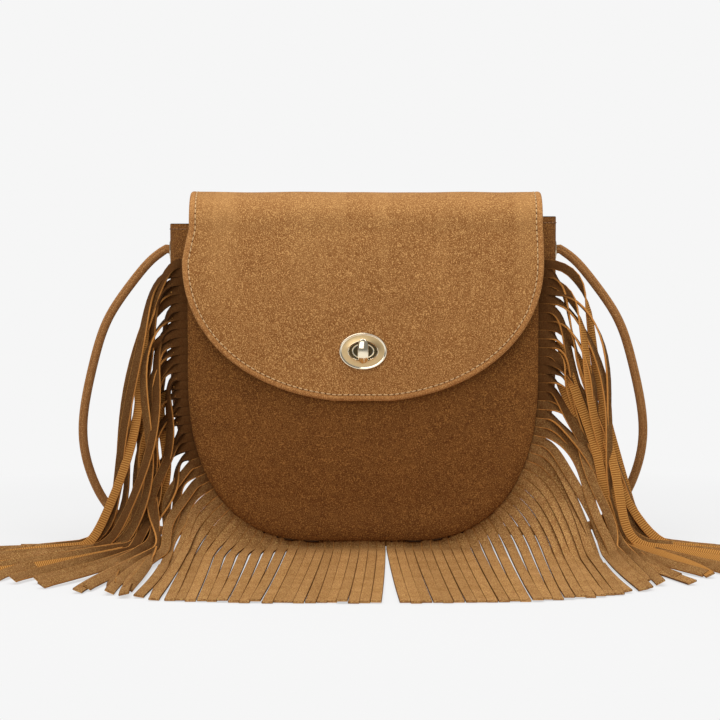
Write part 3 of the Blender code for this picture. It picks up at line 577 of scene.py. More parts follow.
def shell(name, grid, thickness, finish, rim=None):
    """A closed shell with grid as its outer face and a rim of (outwards, up) points."""
    rim = round_rim(thickness) if rim is None else rim
    rows, columns = len(grid), len(grid[0])
    normals = grid_normals(grid)
    edge = [(0, c) for c in range(columns - 1)] + [(r, columns - 1) for r in range(rows - 1)]
    edge += [(rows - 1, c) for c in range(columns - 1, 0, -1)] + [(r, 0) for r in range(rows - 1, 0, -1)]
    bm = bmesh.new()
    outer = [[bm.verts.new(point) for point in line] for line in grid]
    inner = [[bm.verts.new(p - n * thickness) for p, n in zip(*both)] for both in zip(grid, normals)]
    for r in range(rows - 1):
        for c in range(columns - 1):
            bm.faces.new((outer[r][c], outer[r][c + 1], outer[r + 1][c + 1], outer[r + 1][c]))
            bm.faces.new((inner[r][c], inner[r + 1][c], inner[r + 1][c + 1], inner[r][c + 1]))
    rings = [[outer[r][c] for r, c in edge]]
    count = len(edge)
    for out, up in rim:
        ring = []
        for index, (r, c) in enumerate(edge):
            before, after = edge[index - 1], edge[(index + 1) % count]
            run = (grid[after[0]][after[1]] - grid[before[0]][before[1]]).normalized()
            away = run.cross(normals[r][c]).normalized()
            ring.append(bm.verts.new(grid[r][c] + away * out + normals[r][c] * up))
        rings.append(ring)
    rings.append([inner[r][c] for r, c in edge])
    for first, second in zip(rings, rings[1:]):
        join_rings(bm, first, second, flip=True)
    mesh = finished_mesh(bm, name)
    inside = 2 * rows * columns
    mesh.attributes.new("rim", "FLOAT", "POINT")
    mesh.attributes["rim"].data.foreach_set("value", [0.0] * inside + [1.0] * (len(mesh.vertices) - inside))
    return add_object(name, mesh, finish)


print("a rim of suede:", [tuple(round(v, 5) for v in step) for step in round_rim(SUEDE)])

# %% [markdown]
# Grids need rows and columns. They can be even, or closer together near both edges, where the surface bends
# most. No cloth is quite flat, so a noise makes a soft ripple, the same in each run.

# %% Even steps, eased steps and ripples
def spread(count, low=0.0, high=1.0):
    """Even values from low to high."""
    return [low + (high - low) * step / count for step in range(count + 1)]


def eased(count):
    """Shares from 0 to 1, closer together near both ends."""
    return [0.5 - 0.5 * math.cos(math.pi * step / count) for step in range(count + 1)]


def ripple(point, size, amount, seed):
    """A soft unevenness, as cloth has."""
    return amount * noise.noise(Vector(point) / size + Vector((seed, 0.0, 0.0)))


print("eased steps:", [round(step, 3) for step in eased(6)])

# %% [markdown]
# The front panel is one piece of darker suede. It is fullest behind the lock, and it rolls back into the
# seam all round, which gives the dark crease that the photo shows beside the fringe. The back panel is the
# same, a little flatter.

# %% Front and back panels
# the seam's dark crease is partly the real shade of this roll and partly painted shade on the rim, from
# suede_brown
FRONT_BULGE = 0.008
BACK_BULGE = 0.005
MOUTH_BULGE_SHARE = 0.25
BULGE_POWER = 2.5
EDGE_PUFF = 0.0016
EDGE_REACH = 0.022
CORNER_ROWS = 0.6
PANEL_ROWS = 96
PANEL_COLUMNS = 90
RIPPLE_SIZE = 0.035
RIPPLE_AMOUNT = 0.0006


def panel_row(v):
    """Half width and height of the panel's row v, from the bottom (0) to the mouth (1)."""
    if v < CORNER_ROWS:
        return corner_point(v / CORNER_ROWS)
    return HALF_WIDTH, CORNER_TOP + (MOUTH_HEIGHT - CORNER_TOP) * (v - CORNER_ROWS) / (1 - CORNER_ROWS)


def bulge_height_share(z):
    """How full a panel is at a height, from 0 to 1."""
    if z < LOCK_HEIGHT:
        share = 1 - ((LOCK_HEIGHT - z) / (LOCK_HEIGHT - BOTTOM_DROP)) ** BULGE_POWER
    else:
        climb = (z - LOCK_HEIGHT) / (MOUTH_HEIGHT - LOCK_HEIGHT)
        share = 1 - min((1 - MOUTH_BULGE_SHARE) * climb ** BULGE_POWER, 1.0)
    return max(share, 0.0)


def bulge(u, z, amount):
    """How far a panel stands out at the share u (-1 to 1) of its half width."""
    return amount * (1 - abs(u) ** BULGE_POWER) * bulge_height_share(z)


def edge_puff(x, z):
    """A soft roll just inside the seam."""
    share = min(from_seam(x, z) / EDGE_REACH, 1.0)
    return EDGE_PUFF * math.sin(math.pi * share ** 0.6)


def panel_grid(front):
    """Rows of a panel from the bottom up, seen from outside left to right."""
    grid = []
    for v in spread(PANEL_ROWS):
        half, z = panel_row(v)
        line = []
        for u in eased(PANEL_COLUMNS):
            across = 2 * u - 1 if front else 1 - 2 * u
            out = bulge(across, z, FRONT_BULGE if front else BACK_BULGE) + edge_puff(across * half, z)
            out += ripple((across * half, 0.0, z), RIPPLE_SIZE, RIPPLE_AMOUNT, 3.0 if front else 9.0)
            y = -FRONT_DEPTH - out if front else BACK_DEPTH + out
            line.append(Vector((across * half, y, z)))
        grid.append(line)
    return grid


front_panel = shell("front_panel_suede", panel_grid(True), SUEDE, BROWN)
back_panel = shell("back_panel_suede", panel_grid(False), SUEDE, BROWN)
belongs(front_panel, "bag", "suede_brown", "front_panel")
belongs(back_panel, "bag", "suede_brown", "back_panel")
print("panels:", len(front_panel.data.polygons), "faces each")

# %% [markdown]
# The gusset is a strip that runs from one ear down round the bottom and up to the other ear. It stands out
# past both seams like a tyre, and its underside is flat, where the bag stands on it. The right ear ends a
# little higher than the left one, as in the photo.

# %% Gusset
SIDE_BULGE = 0.0125
GUSSET_FLAT_SHARE = 0.45
EAR_RISES = {-1: 0.0008, 1: 0.0056}
FRINGE_TOP = 0.190
GUSSET_ROWS = 28
GUSSET_COLUMNS = 240


def side_swell(share, z):
    """How far the gusset stands out from the seams, at a share (-1 to 1) of its depth."""
    climb = min(max((z - BOTTOM_DROP) / CORNER_HEIGHT, 0.0), 1.0)
    amount = BOTTOM_DROP + (SIDE_BULGE - BOTTOM_DROP) * climb * climb * (3 - 2 * climb)
    past = max(abs(share) - GUSSET_FLAT_SHARE, 0.0) / (1 - GUSSET_FLAT_SHARE)
    return amount * (1 - past * past)


def gusset_place(along, share, lift=0.0):
    """A point of the gusset's outer face, or lifted off it."""
    point = seam_point(along)
    out = seam_normal(along) * (side_swell(share, point.y) + lift)
    if abs(along) < BOTTOM_FLAT:
        out.x = 0.0
    rise = EAR_RISES[1 if along > 0 else -1] * max((point.y - FRINGE_TOP) / (MOUTH_HEIGHT - FRINGE_TOP), 0.0)
    return Vector((point.x + out.x, share * GUSSET_HALF_DEPTH, point.y + out.y + rise))


gusset_grid = []
seam_steps = spread(GUSSET_COLUMNS, -SEAM_HALF, SEAM_HALF)
for share in [2 * s - 1 for s in spread(GUSSET_ROWS)]:
    gusset_grid.append([gusset_place(along, share) for along in seam_steps])
gusset = shell("gusset_suede", [line[::-1] for line in gusset_grid], SUEDE, BROWN)
belongs(gusset, "bag", "suede_brown", "gusset")
right_ear = gusset.data.vertices[GUSSET_ROWS // 2 * (GUSSET_COLUMNS + 1)]
facing = [round(value, 2) for value in right_ear.normal]
print("gusset:", len(gusset.data.polygons), "faces; the right ear faces", facing)

# %% [markdown]
# The lining is a thin cloth pouch that follows the body on the inside. It is seen only from the sides and
# behind, under the flap's fold, but a bag without it would look like a bare shell.

# %% Lining
CLOTH = 0.0006
LINING_EASE = 0.0005
LINING_SLACK = 0.4
LINING_ACROSS = 20
LINING_ROWS = 48
LINING_SIDE = 12


def lining_ring(v):
    """One closed section of the pouch, from the mouth (0) to the bottom (1)."""
    inset = SUEDE + GAP + LINING_EASE
    along = SEAM_HALF + (BOTTOM_FLAT - SEAM_HALF) * v
    normal = seam_normal(along) if v < 1.0 else Vector((0.0, -1.0))
    seam = seam_point(along)
    edge = seam - normal * inset
    front, side = [], []
    for step in range(LINING_ACROSS):
        u = -1 + 2 * step / LINING_ACROSS
        slack = LINING_SLACK * bulge(u, edge.y, FRONT_BULGE)
        front.append(Vector((u * edge.x, -GUSSET_HALF_DEPTH - slack, edge.y)))
    for step in range(LINING_SIDE):
        share = -1 + 2 * step / LINING_SIDE
        out = seam + normal * (side_swell(share, seam.y) - inset if v < 1.0 else -inset)
        side.append(Vector((out.x, share * (GUSSET_HALF_DEPTH - LINING_EASE), out.y)))
    back = []
    for point in front:
        slack = LINING_SLACK * bulge(point.x / edge.x, edge.y, BACK_BULGE)
        back.append(Vector((-point.x, GUSSET_HALF_DEPTH + slack, point.z)))
    return front + side + back + [Vector((-p.x, -p.y, p.z)) for p in side]


bm = bmesh.new()
rings = [[bm.verts.new(point) for point in lining_ring(row / LINING_ROWS)] for row in range(LINING_ROWS + 1)]
for upper, lower in zip(rings, rings[1:]):
    join_rings(bm, upper, lower, flip=True)
bm.faces.new(rings[-1][::-1])
lining = add_object("lining_cloth", finished_mesh(bm, "lining_cloth"), LINING_CLOTH)
wall = lining.modifiers.new("wall", "SOLIDIFY")
wall.thickness = CLOTH
wall.offset = -1.0


def bake(target):
    """The object's mesh as its modifiers leave it, with the modifiers removed."""
    evaluated = target.evaluated_get(bpy.context.evaluated_depsgraph_get())
    mesh = bpy.data.meshes.new_from_object(evaluated)
    target.modifiers.clear()
    target.data = mesh
    return target


bake(lining)
belongs(lining, "bag", "lining", "lining")
print("lining:", len(lining.data.polygons), "faces")

# %% [markdown]
# The flap is sewn to the back, rolls over the top and hangs down in front, where it ends in a wide U. It
# could be a plane bent by a modifier, but then it would not fit the solids. So its profile from the back hem
# to the tip, with its half width at each step, comes from the same formulas, and gives a grid of points.

# %% The flap's profile
FLAP_TOP = 0.2343
FLAP_ROLL = 0.025
FLAP_BACK_HEM = 0.012
FLAP_HALF_WIDTH = 0.1175
FLAP_FOLD_HALF_WIDTH = 0.115
FLAP_LEAN = 0.0018
FLAP_CURVE_TOP = 0.189
FLAP_DROP = 0.0915
FLAP_POWER = 2.1
FLAP_SQUARENESS = 0.75
FLAP_END_ANGLE = 0.14
FLAP_LINING_THICKNESS = 0.0008
FLAP_STACK = 0.0023
FLAP_LAYERS = FLAP_LINING_THICKNESS + GAP + SUEDE
HEM = 0.0042
FLAP_COLUMNS = 84
FLAP_RIPPLE = 0.0005
FLAP_RIPPLE_SIZE = (0.03, 0.03, 0.05)


def flap_lean(z):
    """How far to the right the flap's middle lies at a height: its fold sits a little off centre."""
    climb = (z - FLAP_CURVE_TOP) / (FLAP_TOP - FLAP_ROLL - FLAP_CURVE_TOP)
    return FLAP_LEAN * min(max(climb, 0.0), 1.0)


def flap_front(z):
    """Where the hanging flap's face is at a height."""
    return -(FRONT_DEPTH + FRONT_BULGE * bulge_height_share(z) + FLAP_STACK + FLAP_LAYERS)


def flap_curve(angle, inset):
    """Half width and height of the hanging flap's edge, moved inwards by inset."""
    half = FLAP_HALF_WIDTH * math.sin(angle) ** (2 / FLAP_POWER)
    z = FLAP_CURVE_TOP - FLAP_DROP * max(math.cos(angle), 0.0) ** (2 / FLAP_POWER)
    step = 0.002
    other = min(angle + step, math.pi / 2 - 0.0001)
    first = other - 2 * step
    run = Vector((
        FLAP_HALF_WIDTH * (math.sin(other) ** (2 / FLAP_POWER) - math.sin(first) ** (2 / FLAP_POWER)),
        -FLAP_DROP * (math.cos(other) ** (2 / FLAP_POWER) - math.cos(first) ** (2 / FLAP_POWER)),
    )).normalized()
    return half - run.y * inset, z + run.x * inset


def flap_line(inset):
    """The flap's profile from its back hem over the top to its tip, as points (y, z, half width)."""
    roll_base = FLAP_TOP - FLAP_ROLL
    hem = roll_base - FLAP_BACK_HEM
    back_y = BACK_DEPTH + BACK_BULGE * bulge_height_share(hem) + GAP + FLAP_LAYERS
    middle = (back_y + flap_front(roll_base)) / 2
    reach = (back_y - flap_front(roll_base)) / 2
    line = [(back_y, hem + (roll_base - hem) * s, FLAP_FOLD_HALF_WIDTH - inset) for s in spread(5)[:-1]]
    for angle in spread(48, 0.0, math.pi):
        over = math.copysign(abs(math.cos(angle)) ** FLAP_SQUARENESS, math.cos(angle))
        up = max(math.sin(angle), 0.0) ** FLAP_SQUARENESS
        line.append((middle + reach * over, roll_base + FLAP_ROLL * up, FLAP_FOLD_HALF_WIDTH - inset))
    for share in spread(8)[1:-1]:
        z = roll_base + (FLAP_CURVE_TOP - roll_base) * share
        wide = FLAP_FOLD_HALF_WIDTH + (FLAP_HALF_WIDTH - FLAP_FOLD_HALF_WIDTH) * share ** 0.8
        line.append((flap_front(z), z, wide - inset))
    for share in spread(72):
        half, z = flap_curve(math.pi / 2 + (FLAP_END_ANGLE - math.pi / 2) * share, inset)
        line.append((flap_front(z), z, half))
    return line


def flap_grid(inset, under=0.0, rippled=0.0):
    """Rows of the flap from its tip up and over to its back hem, seen from outside left to right."""
    line = flap_line(inset)
    grid = []
    for index, (y, z, half) in enumerate(line):
        before, after = line[max(index - 1, 0)], line[min(index + 1, len(line) - 1)]
        run = Vector((after[0] - before[0], after[1] - before[1])).normalized()
        row = []
        for u in eased(FLAP_COLUMNS):
            x = flap_lean(z) + (2 * u - 1) * half
            place = [value / size for value, size in zip((x, y, z), FLAP_RIPPLE_SIZE)]
            down = under + rippled * noise.noise(Vector(place))
            row.append(Vector((x, y - run.y * down, z + run.x * down)))
        grid.append(row)
    return grid[::-1]


flap_heights = [height for _, height, _ in flap_line(HEM)]
print("flap profile:", len(flap_heights), "rows; its fold is at", round(max(flap_heights), 4), "m")

# %% [markdown]
# The flap's edge is turned under, so it has a soft round hem about 4 mm wide beside a stitched groove. The
# grid stops at the groove, and the hem is the shell's rim: a profile that rises from the groove, rounds over
# and comes back underneath. A thin lining lies under the flap and stops short of the hem.

# %% Flap
hem_profile = [
    (0.0003, -0.00035), (0.0007, -0.00020), (0.0013, 0.00012), (0.0021, 0.00026), (0.0029, 0.00022),
    (0.0036, -0.00006), (0.0041, -0.00060), (0.0042, -0.00110), (0.0040, -0.00155), (0.0034, -0.00185),
]
flap = shell("flap_suede", flap_grid(HEM, rippled=FLAP_RIPPLE), SUEDE, TAN, hem_profile)
belongs(flap, "bag", "suede_tan", "flap")
FLAP_LINING_INSET = HEM + 0.0005
flap_lining_grid = flap_grid(FLAP_LINING_INSET, SUEDE + GAP)
flap_lining = shell("flap_lining_suede", flap_lining_grid, FLAP_LINING_THICKNESS, TAN)
belongs(flap_lining, "bag", "suede_tan", "flap_lining")
flap_tip = min(vertex.co.z for vertex in flap.data.vertices)
print("flap:", len(flap.data.polygons), "faces; lowest point", round(flap_tip, 4))

# %% [markdown]
# Stitches and fringe strips follow lines, which is what Geometry Nodes do well. A line here is a row of edges
# whose points also carry which way is out, a width and a shade. A tree of nodes with named inputs is run on
# it as a modifier, and what it made is kept as a plain mesh, because the export takes plain meshes only.

# %% Lines and trees
def path_mesh(name, lines, tones=None):
    """Edges along lines of (point, outward direction, width), with a shade for each point in tones."""
    mesh = bpy.data.meshes.new(name)
    points, edges = [], []
    for line in lines:
        start = len(points)
        points += [p for p, _, _ in line]
        edges += [(start + i, start + i + 1) for i in range(len(line) - 1)]
    mesh.from_pydata(points, edges, [])
    flat = [(f, w) for line in lines for _, f, w in line]
    mesh.attributes.new("face", "FLOAT_VECTOR", "POINT")
    mesh.attributes["face"].data.foreach_set("vector", [value for f, _ in flat for value in f])
    mesh.attributes.new("wide", "FLOAT", "POINT")
    mesh.attributes["wide"].data.foreach_set("value", [w for _, w in flat])
    tones = tones or [[0.0] * len(line) for line in lines]
    mesh.attributes.new("tone_and_shade", "FLOAT", "POINT")
    mesh.attributes["tone_and_shade"].data.foreach_set("value", [tone_and_shade for line in tones for tone_and_shade in line])
    made = bpy.data.objects.new(name, mesh)
    bpy.context.scene.collection.objects.link(made)
    return made


def nodes_tree(name, inputs):
    """An empty Geometry Nodes tree with named inputs, and its first and last nodes."""
    tree = bpy.data.node_groups.new(name, "GeometryNodeTree")
    tree.interface.new_socket("Geometry", in_out="INPUT", socket_type="NodeSocketGeometry")
    for label, kind in inputs:
        tree.interface.new_socket(label, in_out="INPUT", socket_type=kind)
    tree.interface.new_socket("Geometry", in_out="OUTPUT", socket_type="NodeSocketGeometry")
    return tree, tree.nodes.new("NodeGroupInput"), tree.nodes.new("NodeGroupOutput")


def grow(target, tree, values):
    """Run a tree on an object with its inputs set, and keep what it made as the object's own mesh."""
    step = target.modifiers.new("grow", "NODES")
    step.node_group = tree
    for item in tree.interface.items_tree:
        if item.item_type == "SOCKET" and item.in_out == "INPUT" and item.name in values:
            step[item.identifier] = values[item.name]
    target.update_tag()
    bpy.context.view_layer.update()
    return bake(target)


print("lines and trees can be made")

# %% [markdown]
# A stitch is a short rounded bar of thread, with a dark spot of painted shade for the needle hole where it
# goes into the suede. Modelling each by hand would take days. The tree turns a line to a curve, sets points
# along it at the stitch length, and puts one stitch and one hole on each point, turned along the line and
# facing outwards.

# %% A stitch maker
STITCH_SEGMENTS = 10
STITCH_RINGS = 6


def stitch_tree():
    """A tree that sets stitches and needle holes along a line of edges."""
    tree, start, end = nodes_tree("stitches", [
        ("Pitch", "NodeSocketFloat"), ("Stitch size", "NodeSocketVector"), ("Hole size", "NodeSocketVector"),
        ("Thread", "NodeSocketMaterial"), ("Hole", "NodeSocketMaterial"),
    ])
    curve = add_node(tree, "GeometryNodeMeshToCurve", {0: start.outputs["Geometry"]})
    even = add_node(tree, "GeometryNodeResampleCurve", {"Curve": curve.outputs[0]})
    even.mode = "LENGTH"
    tree.links.new(start.outputs["Pitch"], even.inputs["Length"])
    run = add_node(tree, "GeometryNodeInputTangent").outputs[0]
    face = add_node(tree, "GeometryNodeInputNamedAttribute", {"Name": "face"}, data_type="FLOAT_VECTOR")
    turned = add_node(tree, "FunctionNodeAlignRotationToVector", {"Vector": run}, axis="X")
    values = {"Rotation": turned.outputs[0], "Vector": face.outputs["Attribute"]}
    turned = add_node(tree, "FunctionNodeAlignRotationToVector", values, axis="Z", pivot_axis="X")
    join = add_node(tree, "GeometryNodeJoinGeometry")
    for size, shift, finish in (("Hole size", 0.5, "Hole"), ("Stitch size", 0.0, "Thread")):
        values = {"Segments": STITCH_SEGMENTS, "Rings": STITCH_RINGS, "Radius": 1.0}
        ball = add_node(tree, "GeometryNodeMeshUVSphere", values)
        soft = add_node(tree, "GeometryNodeSetShadeSmooth", {0: ball.outputs[0]})
        shaped = add_node(tree, "GeometryNodeTransform", {0: soft.outputs[0], "Scale": start.outputs[size]})
        slide = add_node(tree, "ShaderNodeMath", {0: start.outputs["Pitch"], 1: shift}, operation="MULTIPLY")
        across = add_node(tree, "ShaderNodeCombineXYZ", {"X": slide.outputs[0]})
        values = {0: shaped.outputs[0], "Translation": across.outputs[0]}
        placed = add_node(tree, "GeometryNodeTransform", values)
        copies = add_node(tree, "GeometryNodeInstanceOnPoints", {
            "Points": even.outputs[0], "Instance": placed.outputs[0], "Rotation": turned.outputs[0],
        })
        real = add_node(tree, "GeometryNodeRealizeInstances", {0: copies.outputs[0]})
        painted = add_node(tree, "GeometryNodeSetMaterial", {0: real.outputs[0]})
        tree.links.new(start.outputs[finish], painted.inputs["Material"])
        tree.links.new(painted.outputs[0], join.inputs[0])
    tree.links.new(join.outputs[0], end.inputs[0])
    return tree


STITCH_TREE = stitch_tree()
print("stitch tree:", len(STITCH_TREE.nodes), "nodes")


def stitches(name, lines, pitch, length=0.0015, thick=0.0004, hole=0.0004, thread=THREAD):
    """Rows of stitches along lines, with a stitch at every pitch."""
    made = grow(path_mesh(name, lines), STITCH_TREE, {
        "Pitch": pitch,
        "Stitch size": (length, thick, thick * 0.8),
        "Hole size": (hole, hole, hole * 0.45),
        "Thread": thread,
        "Hole": NEEDLE_HOLE_SHADE,
    })
    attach(made, "bag")
    print(name + ":", len(made.data.polygons), "faces")
    return made


# %% [markdown]
# One row of stitches follows the flap's groove from the back hem over the fold, down one side, round the tip
# and up again. A second row holds the flap to the back, each ear has a short row below its top edge, and
# fine stitches close the strap's seam. Only the flap's thread is pale.

# %% Stitch rows
FLAP_PITCH = 0.0037
FINE_PITCH = 0.0034
EAR_SEAM_DEPTH = 0.0028
BACK_SEAM_HEIGHT = 0.2005
BACK_SEAM_HALF = 0.108


def flap_stitch_path():
    """The groove beside the flap's hem, from the back hem round the tip and back."""
    grid = flap_grid(HEM, rippled=FLAP_RIPPLE)
    normals = grid_normals(grid)
    left = [(line[0], n[0]) for line, n in zip(grid, normals)][::-1]
    tip = list(zip(grid[0], normals[0]))[1:-1]
    right = [(line[-1], n[-1]) for line, n in zip(grid, normals)]
    return [(p - n * 0.00005, n, 1.0) for p, n in left + tip + right]


stitches("flap_stitches", [flap_stitch_path()], FLAP_PITCH)
ear_lines = []
for side in (-1, 1):
    along = side * (SEAM_HALF - EAR_SEAM_DEPTH)
    outwards = Vector((side, 0.0, 0.0))
    ear_lines.append([(gusset_place(along, s, 0.0001), outwards, 1.0) for s in spread(30, -0.96, 0.96)])
stitches("ear_stitches", ear_lines, FINE_PITCH, thread=STRAP_THREAD)
back_y = BACK_DEPTH + BACK_BULGE * bulge_height_share(0.196) + GAP + FLAP_LAYERS + 0.0001
back_line = []
for x in spread(60, -BACK_SEAM_HALF, BACK_SEAM_HALF):
    back_line.append((Vector((x, back_y, BACK_SEAM_HEIGHT)), Vector((0, 1, 0)), 1.0))
stitches("flap_back_stitches", [back_line], FLAP_PITCH)
strap_frames = frames_along(STRAP_POINTS, Vector((0, -1, 0)))
strap_line = []
for point, run, side in strap_frames[2:-2]:
    out = side * math.cos(SEAM_ANGLE) + run.cross(side) * math.sin(SEAM_ANGLE)
    strap_line.append((point + out * (STRAP_RADIUS - SEAM_GROOVE * 0.7), out, 1.0))
stitches("strap_stitches", [strap_line], FINE_PITCH, 0.0010, 0.00016, 0.00018, STRAP_THREAD)

# %% [markdown]
# The fringe is a suede band sewn into the front seam and cut into strips of about 5 mm. Round the bottom they
# fall on the floor and lie fanned towards the viewer. At the sides they spring out of the seam, hang down
# in a bundle and flow outwards over the floor. Each strip is a centre line with an outward direction that
# twists. Geometry Nodes turn these lines to ribbons and remember which side of a ribbon a face is on.

# %% Ribbons
CUT_ROUNDING = 0.00035


def ribbon_tree():
    """A tree that makes ribbons of lines of edges, and remembers where on a ribbon a face is."""
    tree, start, end = nodes_tree("ribbons", [
        ("Width", "NodeSocketFloat"), ("Thickness", "NodeSocketFloat"), ("Finish", "NodeSocketMaterial"),
    ])
    stored = "GeometryNodeStoreNamedAttribute"
    curve = add_node(tree, "GeometryNodeMeshToCurve", {0: start.outputs["Geometry"]})
    face = add_node(tree, "GeometryNodeInputNamedAttribute", {"Name": "face"}, data_type="FLOAT_VECTOR")
    wide = add_node(tree, "GeometryNodeInputNamedAttribute", {"Name": "wide"}, data_type="FLOAT")
    normal = add_node(tree, "GeometryNodeSetCurveNormal", {"Curve": curve.outputs[0]}, mode="FREE")
    tree.links.new(face.outputs["Attribute"], normal.inputs["Normal"])
    length = add_node(tree, "GeometryNodeSplineParameter")
    kept = add_node(tree, stored, {0: normal.outputs[0], "Name": "along"}, data_type="FLOAT")
    tree.links.new(length.outputs["Length"], kept.inputs["Value"])
    box = add_node(tree, "GeometryNodeCurvePrimitiveQuadrilateral")
    tree.links.new(start.outputs["Thickness"], box.inputs["Width"])
    tree.links.new(start.outputs["Width"], box.inputs["Height"])
    rounded = add_node(tree, "GeometryNodeFilletCurve", {"Curve": box.outputs[0], "Radius": CUT_ROUNDING})
    rounded.mode = "POLY"
    rounded.inputs["Count"].default_value = 2
    place = add_node(tree, "GeometryNodeInputPosition")
    split = add_node(tree, "ShaderNodeSeparateXYZ", {0: place.outputs[0]})
    sided = rounded
    for name, axis, size in (("across", "Y", "Width"), ("side", "X", "Thickness")):
        sided = add_node(tree, stored, {0: sided.outputs[0], "Name": name}, data_type="FLOAT")
        values = {0: split.outputs[axis], 1: start.outputs[size]}
        share = add_node(tree, "ShaderNodeMath", values, operation="DIVIDE")
        tree.links.new(share.outputs[0], sided.inputs["Value"])
    sized = add_node(tree, "GeometryNodeSetCurveRadius", {0: kept.outputs[0]})
    tree.links.new(wide.outputs["Attribute"], sized.inputs["Radius"])
    skin = add_node(tree, "GeometryNodeCurveToMesh", {
        "Curve": sized.outputs[0], "Profile Curve": sided.outputs[0], "Fill Caps": True,
    })
    if "Scale" in skin.inputs:
        tree.links.new(wide.outputs["Attribute"], skin.inputs["Scale"])
    real = add_node(tree, "GeometryNodeRealizeInstances", {0: skin.outputs[0]})
    painted = add_node(tree, "GeometryNodeSetMaterial", {0: real.outputs[0]})
    tree.links.new(start.outputs["Finish"], painted.inputs["Material"])
    tree.links.new(painted.outputs[0], end.inputs[0])
    return tree


RIBBON_TREE = ribbon_tree()
print("ribbon tree:", len(RIBBON_TREE.nodes), "nodes")

# %% [markdown]
# A strip shows suede on one side, a ribbed golden cloth backing on the other and its cut edges. The
# ribbon's own attributes tell the shader where on the strip it is, so nothing slides when a strip twists.
# Where strips hang close they shade one another more than a plain light can show, so each point of a strip
# also has a tone: the higher it is, the darker the nap, as painted shade, beside a small random change of
# each strip's own. The edges are painted dark between the lying strips, as shade in the gaps where they
# meet, golden on the hanging ones, and darker again at the seam as painted shade. The highest tone paints
# the crease of the band nearly black, as painted shade.

# %% Fringe finish
STRIP_CLOUDS, STRIP_GRAIN, STRIP_FLECKS = 70.0, 1500.0, 1300.0
RIB_PITCH = 0.0015
STRIP_NAP_HEIGHT = 0.0003


def fringe_finish(name):
    """Suede with a ribbed back, cut edges, and a tone that paints shade, as the ribbons' attributes say."""
    made, tree, shader = new_material(name)
    place = object_place(tree)
    side, across, along, tone_and_shade = [mesh_number(tree, word) for word in ("side", "across", "along", "tone_and_shade")]
    cloud = speckle(tree, place, STRIP_CLOUDS, 3.0)
    grain = speckle(tree, place, STRIP_GRAIN, 1.0)
    fleck = speckle(tree, place, STRIP_FLECKS, 1.0)
    nap = mix(tree, ramp(tree, cloud, 0.35, 0.65), linear(178, 128, 76), linear(200, 149, 94))
    nap = mix(tree, part_of(tree, ramp(tree, grain, 0.44, 0.60), 0.75), nap, linear(126, 80, 38))
    nap = mix(tree, part_of(tree, ramp(tree, fleck, 0.54, 0.64), 0.85), nap, linear(226, 182, 112))
    rib = math_node(tree, "SINE", math_node(tree, "MULTIPLY", along, 2 * math.pi / RIB_PITCH))
    rib = math_node(tree, "ADD", part_of(tree, rib, 0.5), 0.5)
    backing = mix(tree, rib, linear(132, 80, 30), linear(224, 164, 88))
    # painted shade: the tone darkens nap and backing near the seam and in the side bundles; a small random
    # part is each strip's own tone
    shade = ramp(tree, tone_and_shade, -0.4, 1.3)
    nap = mix(tree, part_of(tree, shade, 0.95), nap, linear(74, 43, 18))
    backing = mix(tree, part_of(tree, shade, 0.45), backing, linear(120, 74, 32))
    colour = mix(tree, ramp(tree, side, -0.35, -0.25), backing, nap)
    edge = ramp(tree, math_node(tree, "ABSOLUTE", across), 0.43, 0.475)
    # cut edges: painted shade where the lying strips meet, the golden cut colour on hanging strips, and
    # darker painted shade again at the seam
    cut_edge_and_shade = mix(tree, ramp(tree, tone_and_shade, 0.25, 0.7), linear(84, 50, 22), linear(204, 140, 72))
    cut_edge_and_shade = mix(tree, ramp(tree, tone_and_shade, 1.2, 1.5), cut_edge_and_shade, linear(46, 27, 12))
    colour = mix(tree, part_of(tree, edge, 0.85), colour, cut_edge_and_shade)
    # painted shade: the band's crease, at the highest tone, nearly black
    colour = mix(tree, ramp(tree, tone_and_shade, 1.9, 2.1), colour, linear(40, 23, 10))
    tree.links.new(colour, shader.inputs["Base Color"])
    add_relief(tree, shader, math_node(tree, "ADD", grain, part_of(tree, rib, 0.4)), 0.4, STRIP_NAP_HEIGHT)
    shader.inputs["Roughness"].default_value = 0.9
    shader.inputs["Specular IOR Level"].default_value = 0.05
    return made


FRINGE_SUEDE = fringe_finish("suede_fringe")
print("fringe finish:", len(FRINGE_SUEDE.node_tree.nodes), "nodes")

# %% [markdown]
# All strips are cut from one band, so they share a length and a width. What differs is where along the seam
# a strip starts: near the middle it lies fanned on the floor, at the corner it lands further forward, and
# higher up it is loose and hangs in the side's bundle. These sizes drive all of that. The random numbers
# come from one fixed seed, so that each run gives the same fringe.

# %% Strip sizes
FRINGE_BAND = 0.005
FRINGE_TUCK = 0.0011
STRIP_LENGTH = 0.245
STRIP_PITCH = 0.0057
STRIP_WIDTH = 0.0055
STRIP_SHOWN = 0.0058
SIDE_SHIFTS = {-1: -0.008, 1: 0.010}
SIDE_SHADES = {-1: 1.15, 1: 0.9}
BACKS_SHOWN = {-1: 0.25, 1: 0.45}
WIDEST = 1.12
SIDE_WIDE = 1.06
SEAM_LEAN = 0.6
CORNER_ADVANCE = 0.036
CORNER_OUT = 0.008
CORNER_PULL = 0.018
CORNER_PUSH = 0.006
FRINGE_PARTING = 0.015
FRINGE_REACH = 0.080
FRINGE_STEP = 0.012
FRINGE_ADVANCE = 0.030
FAN_START = 0.0045
FAN_SHARE = 0.09
FLARE_START = 0.150
FLARE_REACH = 0.100
FRINGE_FLARE = 68.0
FALL_PUSH = 0.045
FALL_SLACK = 1.12
FALL_STEPS = 30
FLOOR_STEPS = 16
FLOOR_LIFT_SHARE = 0.6
FLOOR_LIFT_CLIMB = 0.125
LOOSE_START = 0.105
LOOSE_REACH = 0.06
CLUMP_FINENESS = 95
